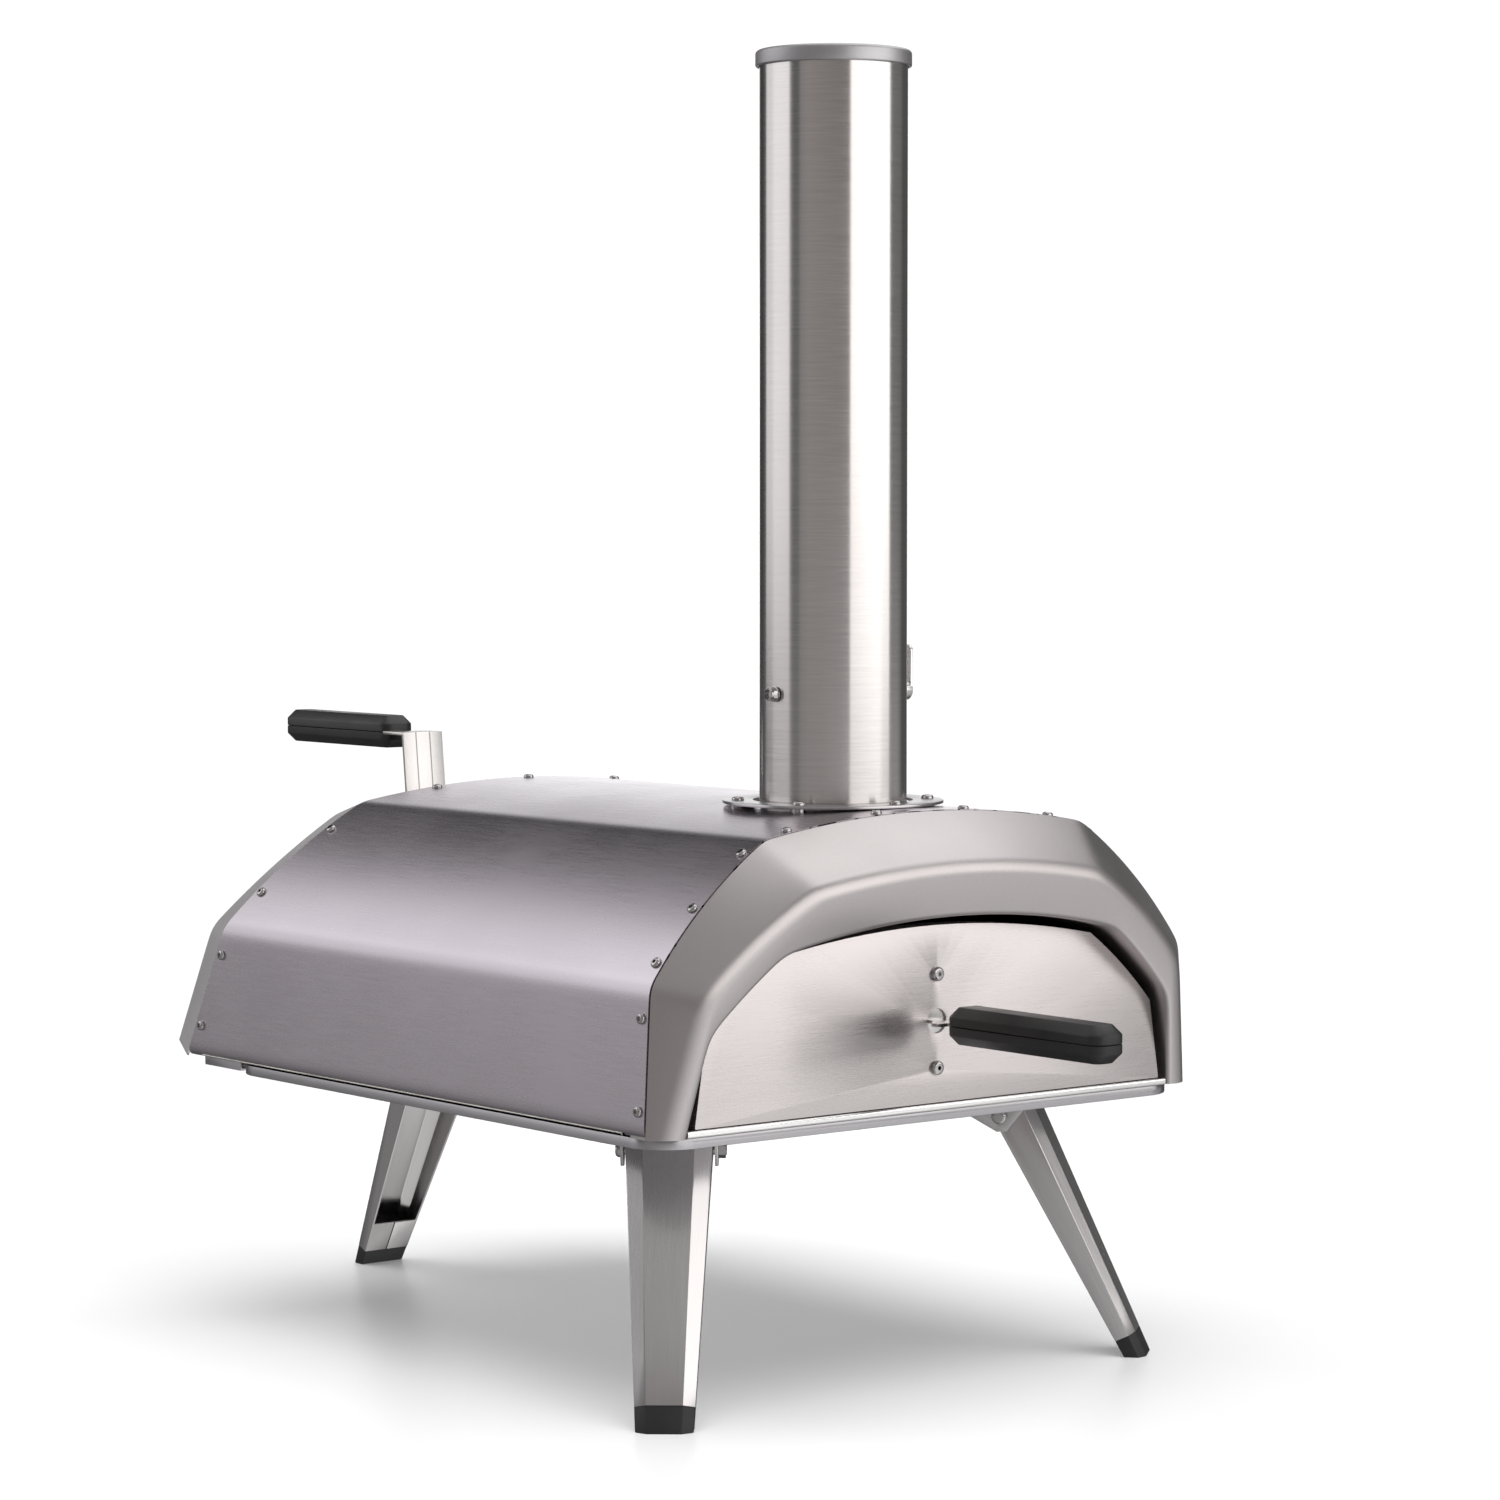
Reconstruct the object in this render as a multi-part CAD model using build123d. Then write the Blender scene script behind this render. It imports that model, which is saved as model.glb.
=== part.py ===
"""Portable wood fired pizza oven with a tall chimney and three folding legs.

Millimetres, +Z up. The mouth faces -Y and the fire hatch faces +Y. The floor is z = 0.
Depths are written from the seam between the front bezel and the shell, and every node is
moved by MID_DEPTH as it is saved, so the origin lies under the middle of the oven.
"""
import os
from math import cos, hypot, radians, sin

from build123d import *

# Body section: half widths and heights of the corners, from the bottom edge to the crown.
BODY_BOTTOM = (204.0, 165.7)
BODY_SHOULDER = (200.0, 249.0)
BODY_CREASE = (119.8, 326.4)
BODY_CROWN = 337.6
CHAMFER_BOW = 5.5
SHELL_T = 1.2
REAR_DEPTH = 477.0
REAR_LEAN = -0.462
WALL_GAP = 22.0
SKIN_GAP = 0.3

# Front bezel: its crease on the leaning front plane, and the opening.
BEZEL_CREASE = [(194.6, 165.7), (178.8, 242.3), (107.1, 298.2)]
BEZEL_CROWN = 308.5
BEZEL_FRONT = -10.5
BEZEL_LEAN = -0.165
OPENING = [(182.2, 165.7), (172.7, 221.4), (124.3, 264.7)]
OPENING_CROWN = 279.0
OPENING_BOW = 1.5
BEZEL_T = 1.5
COLLAR_BACK = 22.0
BEZEL_FLANGE_BACK = 21.5

# Rear bezel: a pan tapered behind the leaning rear edge of the shell.
REAR_PAN = [(190.0, 172.0), (186.0, 246.0), (112.0, 317.0)]
REAR_PAN_CROWN = 328.0
REAR_PAN_DEPTH = 36.0

# Cooking chamber.
TRAY_BOTTOM = 159.0
TRAY_TOP = 165.2
TRAY_HALF = 199.5
TRAY_FRONT = -5.0
TRAY_BACK = 433.0
TRAY_CORNER = 26.0
FLOOR_Z = 172.5
STONE_SIDE = 335.0
STONE_T = 10.0
STONE_FRONT = 14.0
GUARD_FRONT = 353.0

# Door.
DOOR_CORNERS = [(175.8, 170.2), (168.4, 217.4), (119.8, 260.7)]
DOOR_CROWN = 272.5
DOOR_FRONT = -8.6
DOOR_DEPTH = 15.5
DOOR_HOLE_Z = 217.3
DOOR_HOLE_R = 7.2
STRAP_W = 31.0
STRAP_T = 2.0
SCREW_PITCH = 27.0

# Handle, the same moulding at the door and at the hatch.
HANDLE_L = 126.0
HANDLE_W = 25.0
HANDLE_H = 21.5
HANDLE_CUT = 5.5
HANDLE_SCREW_SHARES = (0.22, 0.45)
DOOR_HANDLE_Y = -29.0
HATCH_HANDLE_Y = 538.0
HATCH_HANDLE_Z = 361.0

# Chimney.
FLUE_Y = 84.8
FLUE_R = 43.4
FLUE_T = 1.0
FLUE_BOTTOM = 338.0
CAP_BOTTOM = 766.8
CAP_TOP = 776.2
CAP_R = 45.7
PLATE_R = 65.0
PLATE_T = 1.8
PLATE_HOLE_R = 47.0
COLLAR_R = 41.9
DAMPER_Z = 402.5
DAMPER_AXLE_R = 3.0
DAMPER_LEVER_X = 57.0

# Burner at the back.
HOUSING_HALF = 56.0
HOUSING_BACK = 520.0
HOUSING_TOP = 286.0
HOUSING_BOTTOM = 172.0
HATCH_PLATE_T = 2.0
FUEL_TRAY_HALF = 47.0
FUEL_TRAY_FRONT = 366.0
FUEL_TRAY_TOP = 226.0
FUEL_TRAY_BOTTOM = 175.0

# Legs: pivot, lean and taper. Each leg points along its own direction over the floor.
LEG_REACH = 81.0
LEG_PIVOT_Z = 145.5
LEG_LEAN = 24.8
FRONT_FOOT = (180.5, 12.9)
FRONT_DIRECTION = 39.8
REAR_FOOT_DEPTH = 568.8
LEG_T = 1.5
LEG_TOP_HALF = 24.9
LEG_FOOT_HALF = 16.3
LEG_END = 152.5
PIN_R = 3.0

MID_DEPTH = (DOOR_HANDLE_Y - HANDLE_L + HATCH_HANDLE_Y + HANDLE_L) / 2


def save(node, shape):
    """Write one node with the oven's middle over the origin."""
    placed = Pos(0, -MID_DEPTH, 0) * shape
    export_step(placed, f"parts/{node}.step")


def box(x0, x1, y0, y1, z0, z1):
    """A block from its limits on each axis."""
    middle = Pos((x0 + x1) / 2, (y0 + y1) / 2, (z0 + z1) / 2)
    return middle * Box(x1 - x0, y1 - y0, z1 - z0)


def rod(start, direction, radius, length):
    """A round bar that starts at a point and runs along a direction."""
    return Plane(origin=start, z_dir=direction) * Cylinder(
        radius, length, align=(Align.CENTER, Align.CENTER, Align.MIN))


def prism(points, direction, length):
    """A flat polygon of 3-D corners, pushed along a direction."""
    outline = Polyline(*points, close=True)
    return extrude(make_face(outline), amount=length, dir=direction)


def shrink(t):
    """The body section's corners and crown, moved in by a wall of thickness t."""
    corners = [
        (BODY_BOTTOM[0] - t, BODY_BOTTOM[1]),
        (BODY_SHOULDER[0] - t, BODY_SHOULDER[1] - 0.43 * t),
        (BODY_CREASE[0] - 0.5 * t, BODY_CREASE[1] - 0.95 * t),
    ]
    return corners, BODY_CROWN - t


def arch(corners, crown, bow=0.0, depth=0.0, lean=0.0, base=None):
    """A face with straight sides, bowed chamfers and an arched top, on a plane that may lean."""
    foot = corners[0][1] if base is None else base

    def at(x, z):
        return Vector(x, depth + lean * (z - foot), z)

    (half_0, z_0), (half_1, z_1), (half_2, z_2) = corners
    slope = hypot(half_1 - half_2, z_2 - z_1)
    push_x = bow * (z_2 - z_1) / slope
    push_z = bow * (half_1 - half_2) / slope

    def chamfer(side):
        start = at(side * half_1, z_1)
        end = at(side * half_2, z_2)
        if bow == 0:
            return Line(start, end)
        middle = at(side * ((half_1 + half_2) / 2 + push_x), (z_1 + z_2) / 2 + push_z)
        return ThreePointArc(start, middle, end)

    if crown > z_2:
        top = ThreePointArc(at(half_2, z_2), at(0, crown), at(-half_2, z_2))
    else:
        top = Line(at(half_2, z_2), at(-half_2, z_2))
    edges = [
        Line(at(-half_0, z_0), at(half_0, z_0)),
        Line(at(half_0, z_0), at(half_1, z_1)),
        chamfer(1),
        top,
        chamfer(-1),
        Line(at(-half_1, z_1), at(-half_0, z_0)),
    ]
    return make_face(edges)


def tunnel(t, front, back, flat_top=False):
    """The body section, moved in by t, as a solid bar along Y."""
    corners, crown = shrink(t)
    if flat_top:
        crown = corners[2][1]
    return extrude(arch(corners, crown, 0 if flat_top else CHAMFER_BOW, front),
                   amount=back - front, dir=(0, 1, 0))


def lower(corners, depth):
    """The same outline with its side walls carried on down, for cutting through."""
    (half_0, z_0), (half_1, z_1) = corners[:2]
    flare = (half_0 - half_1) / (z_1 - z_0)
    return [(half_0 + flare * depth, z_0 - depth)] + list(corners[1:])


def beyond_rear(offset):
    """Everything behind the leaning rear plane, moved back by an offset."""
    low = 100.0
    high = 420.0
    y_low = REAR_DEPTH + offset + REAR_LEAN * (low - BODY_BOTTOM[1])
    y_high = REAR_DEPTH + offset + REAR_LEAN * (high - BODY_BOTTOM[1])
    corners = [(-260, y_low, low), (-260, 900, low), (-260, 900, high), (-260, y_high, high)]
    return prism(corners, (1, 0, 0), 520)


def rear_slice(offset, thickness):
    """The leaning slab between two planes parallel to the rear edge of the shell."""
    return beyond_rear(offset) - beyond_rear(offset + thickness)


def screw_head(radius, height, socket=1.4):
    """A button head on z = 0 with a hexagon socket, and a short shank below."""
    dome = Cylinder(radius, height, align=(Align.CENTER, Align.CENTER, Align.MIN))
    dome = fillet(dome.edges().sort_by(Axis.Z)[-1], height * 0.8)
    recess = extrude(RegularPolygon(socket, 6), amount=height)
    dome -= Pos(0, 0, height * 0.45) * recess
    shank = Pos(0, 0, -2.4) * Cylinder(radius * 0.42, 2.4, align=(Align.CENTER, Align.CENTER, Align.MIN))
    return dome + shank


def set_screws(places, radius=3.2, height=2.0):
    """Screws at (point, outward direction) places, as separate solids."""
    return Compound(children=[
        Plane(origin=Vector(*point) + Vector(*out) * 0.06, z_dir=out) * screw_head(radius, height)
        for point, out in places])


# ---------------------------------------------------------------- body

def chamfer_place(side, share, depth):
    """A point and outward direction on the shell's chamfer, at a share of its width."""
    (x_1, z_1), (x_2, z_2) = BODY_SHOULDER, BODY_CREASE
    length = hypot(x_1 - x_2, z_2 - z_1)
    along = Vector((x_2 - x_1) / length, 0, (z_2 - z_1) / length)
    across = Vector(along.Z, 0, -along.X)
    radius = (length ** 2 / 4 + CHAMFER_BOW ** 2) / (2 * CHAMFER_BOW)
    centre = Vector((x_1 + x_2) / 2, 0, (z_1 + z_2) / 2) - across * (radius - CHAMFER_BOW)
    reach = (share - 0.5) * length
    out = (along * reach + across * (radius ** 2 - reach ** 2) ** 0.5) / radius
    point = centre + out * radius
    return (side * point.X, depth, point.Z), (side * out.X, 0, out.Z)


def crown_place(x, depth):
    """A point and outward direction on the shell's arched top."""
    rise = BODY_CROWN - BODY_CREASE[1]
    radius = (BODY_CREASE[0] ** 2 + rise ** 2) / (2 * rise)
    z = BODY_CROWN - radius + (radius ** 2 - x ** 2) ** 0.5
    return (x, depth, z), (x / radius, 0, (z - BODY_CROWN + radius) / radius)


def wall_place(side, z, depth):
    """A point and outward direction on the shell's side wall."""
    (x_0, z_0), (x_1, z_1) = BODY_BOTTOM, BODY_SHOULDER
    x = x_0 + (x_1 - x_0) * (z - z_0) / (z_1 - z_0)
    length = hypot(x_0 - x_1, z_1 - z_0)
    return (side * x, depth, z), (side * (z_1 - z_0) / length, 0, (x_0 - x_1) / length)


def rear_depth(z, offset=0.0):
    """Depth of the leaning rear plane at a height."""
    return REAR_DEPTH + offset + REAR_LEAN * (z - BODY_BOTTOM[1])


def flue_hole(radius, z_low, z_high):
    """A round cut on the chimney's axis."""
    return rod((0, FLUE_Y, z_low), (0, 0, 1), radius, z_high - z_low)


def seam_places():
    """Screws along the front seam: walls, chamfers and top."""
    depth = 6.5
    places = []
    for side in (-1, 1):
        places += [wall_place(side, z, depth) for z in (181.0, 232.0)]
        places += [chamfer_place(side, share, depth) for share in (0.14, 0.48, 0.88)]
    places += [crown_place(x, depth) for x in (-99.0, -33.0, 33.0, 99.0)]
    return places


def rear_places():
    """Screws along the shell's leaning rear edge."""
    inset = -7.0
    places = []
    for side in (-1, 1):
        for z in (186.0, 232.0):
            places.append(wall_place(side, z, rear_depth(z, inset)))
        for share in (0.25, 0.75):
            point, out = chamfer_place(side, share, 0)
            places.append(((point[0], rear_depth(point[2], inset), point[2]), out))
    for x in (-70.0, 0.0, 70.0):
        point, out = crown_place(x, 0)
        places.append(((x, rear_depth(point[2], inset), point[2]), out))
    return places


def outer_shell():
    """Brushed sheet tunnel with a small flange under each side and a leaning rear edge."""
    skin = tunnel(0, 0.2, REAR_DEPTH + 20) - extrude(
        arch(lower(shrink(SHELL_T)[0], 20), shrink(SHELL_T)[1], CHAMFER_BOW, -5),
        amount=REAR_DEPTH + 60, dir=(0, 1, 0))
    for side in (-1, 1):
        x_in, x_out = sorted((side * 192.0, side * (BODY_BOTTOM[0] - 0.6)))
        skin += box(x_in, x_out, 24.0, REAR_DEPTH + 20, BODY_BOTTOM[1], BODY_BOTTOM[1] + SHELL_T)
    skin -= beyond_rear(0)
    skin -= flue_hole(COLLAR_R + 0.3, 300, 360)
    for point, out in seam_places() + rear_places() + flange_places():
        skin -= rod(Vector(*point) - Vector(*out) * 8, out, 1.7, 12)
    return skin


def bezel_solid(t):
    """The bezel's outer form, moved in by t, from the seam to its crease."""
    corners, crown = shrink(t)
    back = arch(corners, crown, CHAMFER_BOW, 0)
    crease = [(x - t, z - (0.0 if i == 0 else 0.6 * t)) for i, (x, z) in enumerate(BEZEL_CREASE)]
    front = arch(crease, BEZEL_CROWN - t, CHAMFER_BOW * 0.6, BEZEL_FRONT + t, BEZEL_LEAN)
    return loft([back, front], ruled=True)


def opening_bar(t, front, back):
    """The mouth's outline grown by t, as a bar along Y that runs out below."""
    corners = [(x + t, z + (0.0 if i == 0 else 0.6 * t)) for i, (x, z) in enumerate(OPENING)]
    face = arch(lower(corners, 20), OPENING_CROWN + t, OPENING_BOW, front)
    return extrude(face, amount=back - front, dir=(0, 1, 0))


def front_bezel():
    """Pressed frame round the mouth: front, chamfered band, flange and a return into the mouth."""
    hollow = bezel_solid(BEZEL_T) + box(-250, 250, 0, 30, 100, 400)
    under = box(-190, 190, -60, 0.05, 160, BODY_BOTTOM[1] + 0.01)
    frame = bezel_solid(0) - (hollow - opening_bar(BEZEL_T, -60, 40)) - under
    frame = frame - opening_bar(0, -60, 60)
    collar = opening_bar(BEZEL_T, -1, COLLAR_BACK) - opening_bar(0, -60, 60)
    collar -= box(-250, 250, -60, 60, 100, BODY_BOTTOM[1])
    inner = shrink(SHELL_T + SKIN_GAP)
    deep = shrink(SHELL_T + SKIN_GAP + BEZEL_T)
    flange = extrude(arch(*inner, CHAMFER_BOW, -0.5), amount=BEZEL_FLANGE_BACK + 0.5, dir=(0, 1, 0))
    flange -= extrude(arch(lower(deep[0], 20), deep[1], CHAMFER_BOW, -5), amount=40, dir=(0, 1, 0))
    frame = frame + collar + flange
    for point, out in seam_places():
        frame -= rod(Vector(*point) - Vector(*out) * 6, out, 1.45, 8)
    return frame


def mouth_frame():
    """Plate that closes the gap between the shell and the liner behind the bezel."""
    plate = tunnel(SHELL_T + SKIN_GAP, COLLAR_BACK, COLLAR_BACK + 1.2)
    return plate - opening_bar(0, 0, 60) - box(-250, 250, 0, 60, 100, TRAY_TOP + 1.0)


def rear_bezel():
    """Tapered pan that closes the leaning back of the shell, with an opening for the burner."""
    def pan(t, offset):
        corners, crown = shrink(0.4 + t)
        start = arch(corners, crown, CHAMFER_BOW, REAR_DEPTH + 0.2, REAR_LEAN, BODY_BOTTOM[1])
        rear = [(x - t, z - (0.0 if i == 0 else 0.6 * t)) for i, (x, z) in enumerate(REAR_PAN)]
        end = arch(rear, REAR_PAN_CROWN - t, CHAMFER_BOW * 0.6,
                   rear_depth(rear[0][1], REAR_PAN_DEPTH + offset), REAR_LEAN)
        return loft([start, end], ruled=True)

    shell = pan(0, 0) - pan(1.2, -1.2)
    shell -= box(-HOUSING_HALF - 0.4, HOUSING_HALF + 0.4, 380, 560, 150, HOUSING_TOP + 0.6)
    inner = shrink(SHELL_T + SKIN_GAP)
    deep = shrink(SHELL_T + SKIN_GAP + 1.2)
    flange = extrude(arch(*inner, CHAMFER_BOW, 350), amount=150, dir=(0, 1, 0))
    flange -= extrude(arch(lower(deep[0], 20), deep[1], CHAMFER_BOW, 340), amount=170, dir=(0, 1, 0))
    flange = (flange & rear_slice(-14.0, 14.4)) - box(-250, 250, 380, 560, 150, BODY_BOTTOM[1] + SHELL_T + 0.3)
    shell = shell + flange
    for point, out in rear_places():
        shell -= rod(Vector(*point) - Vector(*out) * 6, out, 1.45, 8)
    return shell


def liner():
    """Inner shell: a flat-topped tunnel with a flue hole, open to the floor."""
    corners, _ = shrink(WALL_GAP)
    skin = tunnel(WALL_GAP, COLLAR_BACK + 1.5, REAR_DEPTH + 40, flat_top=True)
    inside = [(x - 1.0, z - (1.0 if i == 2 else 0.4)) for i, (x, z) in enumerate(corners)]
    skin -= extrude(arch(lower(inside, 20), inside[2][1], 0, 0), amount=600, dir=(0, 1, 0))
    skin -= beyond_rear(1.0)
    skin -= box(-250, 250, 0, 560, 100, FLOOR_Z - 4.0)
    return skin - flue_hole(COLLAR_R + 0.1, 290, 320)


def floor_half():
    """Half width of the chamber's floor, inside the liner's walls."""
    return shrink(WALL_GAP)[0][0][0] - 3.0


def liner_floor():
    """Steel floor of the chamber, under the stone."""
    half = floor_half()
    plate = box(-half, half, 9.0, 480.0, FLOOR_Z, FLOOR_Z + 1.0)
    return plate - beyond_rear(2.0)


def liner_back():
    """Leaning rear wall of the chamber, with the burner's opening."""
    corners, _ = shrink(WALL_GAP + 2.6)
    tall = [(corners[0][0], FLOOR_Z + 1.5), corners[1], (corners[2][0], corners[2][1])]
    wall = extrude(arch(tall, tall[2][1], 0, 300), amount=240, dir=(0, 1, 0)) & rear_slice(0.5, 1.2)
    return wall - box(-HOUSING_HALF, HOUSING_HALF, 300, 560, 150, HOUSING_TOP)


def wall_slabs():
    """Five straight insulation slabs round the liner: two walls, two shoulders and the roof."""
    outer, outer_crown = shrink(SHELL_T + SKIN_GAP)
    inner, _ = shrink(WALL_GAP)
    front = COLLAR_BACK + 1.5
    length = REAR_DEPTH + 40 - front
    foot = BODY_BOTTOM[1] + SHELL_T + 0.3

    def slab(corners):
        piece = prism([(x, front, z) for x, z in corners], (0, 1, 0), length)
        return piece - beyond_rear(-15.0)

    slabs = {}
    for side, name in ((-1, "left"), (1, "right")):
        wall = [(outer[0][0] - 0.2, foot), outer[1], (inner[1][0] + 0.2, inner[1][1]), (inner[0][0] + 0.2, foot)]
        shoulder = [(outer[1][0] - 0.1, outer[1][1] + 0.3), outer[2], (inner[2][0] + 0.1, inner[2][1] + 0.3),
                    (inner[1][0] + 0.1, inner[1][1] + 0.3)]
        slabs[f"insulation_wall_{name}"] = slab([(side * x, z) for x, z in wall])
        slabs[f"insulation_shoulder_{name}"] = slab([(side * x, z) for x, z in shoulder])
    roof_face = make_face([
        Line((-inner[2][0], front, inner[2][1] + 0.2), (inner[2][0], front, inner[2][1] + 0.2)),
        Line((inner[2][0], front, inner[2][1] + 0.2), (outer[2][0] - 0.3, front, outer[2][1])),
        ThreePointArc((outer[2][0] - 0.3, front, outer[2][1]), (0, front, outer_crown),
                      (-outer[2][0] + 0.3, front, outer[2][1])),
        Line((-outer[2][0] + 0.3, front, outer[2][1]), (-inner[2][0], front, inner[2][1] + 0.2)),
    ])
    roof = extrude(roof_face, amount=length, dir=(0, 1, 0)) - beyond_rear(-15.0)
    slabs["insulation_roof"] = roof - flue_hole(COLLAR_R + 0.2, 290, 350)
    return slabs


def back_slabs():
    """Insulation behind the liner's rear wall: left, right and above the burner."""
    corners, _ = shrink(WALL_GAP)
    tall = [(corners[0][0], FLOOR_Z + 1.5), corners[1], corners[2]]
    block = extrude(arch(tall, tall[2][1], 0, 300), amount=260, dir=(0, 1, 0)) & rear_slice(3.2, 29.0)
    edge = HOUSING_HALF + 0.6
    lid = HOUSING_TOP + 1.0
    return {
        "insulation_back_left": block & box(-230, -edge, 300, 560, 100, 400),
        "insulation_back_right": block & box(edge, 230, 300, 560, 100, 400),
        "insulation_back_top": block & box(-edge + 0.2, edge - 0.2, 300, 560, lid, 400),
    }


def rounded_tray(inset, z_0, z_1):
    """Plan of the base tray with its two rounded front corners, as a block."""
    plan = box(-TRAY_HALF + inset, TRAY_HALF - inset, TRAY_FRONT + inset, TRAY_BACK - inset, z_0, z_1)
    corners = plan.edges().filter_by(Axis.Z)
    return fillet(corners, TRAY_CORNER - inset)


def base_tray():
    """Shallow pan under the body, which the legs are fixed to."""
    tray = rounded_tray(0, TRAY_BOTTOM, TRAY_TOP) - rounded_tray(1.2, TRAY_BOTTOM + 1.2, TRAY_TOP + 5)
    return tray


def floor_insulation():
    """Insulation board between the tray and the chamber's floor."""
    half = floor_half()
    return box(-half, half, 9.0, TRAY_BACK - 3.0, TRAY_BOTTOM + 1.4, FLOOR_Z - 0.1)


def front_lip():
    """Folded sill that the door stands on, with a rounded bright edge."""
    sill = box(-181.0, 181.0, -9.4, 8.0, TRAY_TOP + 0.1, 169.7)
    rounded = fillet(sill.edges().filter_by(Axis.X).sort_by(Axis.Y)[:2], 1.6)
    return rounded


def baking_stone():
    """Square stone with eased edges, lying on the chamber's floor."""
    low = FLOOR_Z + 1.4
    slab = box(-STONE_SIDE / 2, STONE_SIDE / 2, STONE_FRONT, STONE_FRONT + STONE_SIDE, low, low + STONE_T)
    return chamfer(slab.edges().filter_by(Axis.Z), 4.0)


def flame_guard():
    """Upright plate between the stone and the fire, with a folded foot."""
    half = 150.0
    low = FLOOR_Z + 1.3
    upright = box(-half, half, GUARD_FRONT, GUARD_FRONT + 1.5, low, low + 26.0)
    foot = box(-half, half, GUARD_FRONT, GUARD_FRONT + 10.0, low, low + 1.5)
    return upright + foot


# ---------------------------------------------------------------- door

def door_bar(inset, front, depth):
    """The door's outline moved in by an inset, as a slab."""
    corners = [(x - inset, z + (inset if i == 0 else -0.6 * inset)) for i, (x, z) in enumerate(DOOR_CORNERS)]
    return extrude(arch(corners, DOOR_CROWN - inset, 2.0, front), amount=depth, dir=(0, 1, 0))


def door_outer_skin():
    """Brushed pan with folded edges, rounded bottom corners and a round hole."""
    skin = door_bar(0, DOOR_FRONT, DOOR_DEPTH - 1.2) - door_bar(1.2, DOOR_FRONT + 1.2, DOOR_DEPTH)
    lower_corners = skin.edges().filter_by(Axis.Y).sort_by(Axis.Z)
    outer = [e for e in lower_corners if abs(abs(e.center().X) - DOOR_CORNERS[0][0]) < 0.2]
    skin = fillet(outer[:2], 1.0)
    skin -= rod((0, -20, DOOR_HOLE_Z), (0, 1, 0), DOOR_HOLE_R, 14)
    for side in (-1, 1):
        skin -= rod((0, -20, DOOR_HOLE_Z + side * SCREW_PITCH), (0, 1, 0), 1.9, 14)
    return skin


def door_inner_skin():
    """Plain back plate of the door."""
    back = DOOR_FRONT + DOOR_DEPTH
    return door_bar(0.4, back - 1.1, 1.1)


def door_insulation():
    """Fibre board sealed between the door's two skins, recessed for the strap."""
    board = door_bar(1.6, DOOR_FRONT + 1.4, DOOR_DEPTH - 2.8)
    return board - box(-22, 22, DOOR_FRONT, DOOR_FRONT + 6.0, DOOR_HOLE_Z - 36, DOOR_HOLE_Z + 36)


def door_bracket():
    """Backing plate behind the skin, with the strap that carries the handle."""
    face = DOOR_FRONT + 1.3
    plate = box(-18, 18, face, face + 2.0, DOOR_HOLE_Z - 33, DOOR_HOLE_Z + 33)
    tongue_back = box(-DOOR_HOLE_R + 0.6, DOOR_HOLE_R - 0.6, DOOR_FRONT - 6, face + 1, DOOR_HOLE_Z - 1, DOOR_HOLE_Z + 1)
    blade = box(-STRAP_W / 2, STRAP_W / 2, DOOR_HANDLE_Y + 2, DOOR_FRONT - 4, DOOR_HOLE_Z - 1, DOOR_HOLE_Z + 1)
    corners = blade.edges().filter_by(Axis.Z).sort_by(Axis.Y)
    blade = chamfer(corners[-2:], 9.0)
    core = box(-8, 8, DOOR_HANDLE_Y - 70, DOOR_HANDLE_Y + 3, DOOR_HOLE_Z - 1, DOOR_HOLE_Z + 1)
    part = plate + tongue_back + blade + core
    for side in (-1, 1):
        part -= rod((0, face - 1, DOOR_HOLE_Z + side * SCREW_PITCH), (0, 1, 0), 1.9, 5)
    return part


def door_screws():
    """Two button-head screws that hold the strap's plate to the door."""
    return set_screws([((0, DOOR_FRONT, DOOR_HOLE_Z + side * SCREW_PITCH), (0, -1, 0)) for side in (-1, 1)], 4.3, 2.4)


def handle_bar(width, height, length, cut):
    """Octagonal bar along +Y with its section's corners and its ends cut off."""
    bar = Box(width, length, height, align=(Align.CENTER, Align.MIN, Align.CENTER))
    bar = chamfer(bar.edges().filter_by(Axis.Y), cut)
    return bar


def handle_half(upper, slot_half, slot_depth):
    """One moulded half of the handle along +Y from the origin, with a slot for the strap."""
    bar = handle_bar(HANDLE_W, HANDLE_H, HANDLE_L, HANDLE_CUT)
    ends = bar.faces().sort_by(Axis.Y)
    bar = chamfer(list(ends[0].edges()) + list(ends[-1].edges()), 2.2)
    side = 1 if upper else -1
    seam = 0.15
    keep = Box(60, 300, 40, align=(Align.CENTER, Align.CENTER, Align.MIN if upper else Align.MAX))
    half = bar & (Pos(0, 0, side * seam) * keep)
    half -= box(-slot_half, slot_half, -1, slot_depth, -1.2, 1.2)
    for share in HANDLE_SCREW_SHARES:
        half -= rod((0, HANDLE_L * share, -HANDLE_H / 2 - 1), (0, 0, 1), 2.45, 2.25)
    return half


def door_handle(upper):
    """A half of the door's handle, pointing forward from the door."""
    turn = Pos(0, DOOR_HANDLE_Y, DOOR_HOLE_Z) * Rot(0, 0, 180)
    return turn * handle_half(upper, 8.2, 71)


def hatch_handle(upper):
    """A half of the hatch's handle, pointing back."""
    return Pos(0, HATCH_HANDLE_Y, HATCH_HANDLE_Z) * handle_half(upper, 8.2, 71)


def handle_screws(y_0, direction, z):
    """Two countersunk screws under the handle that clamp its halves."""
    places = []
    for share in HANDLE_SCREW_SHARES:
        places.append(((0, y_0 + direction * HANDLE_L * share, z - HANDLE_H / 2 + 0.6), (0, 0, -1)))
    return Compound(children=[
        Plane(origin=point, z_dir=out) * Cylinder(2.4, 1.2) for point, out in places])


# ---------------------------------------------------------------- burner and hatch

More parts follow.
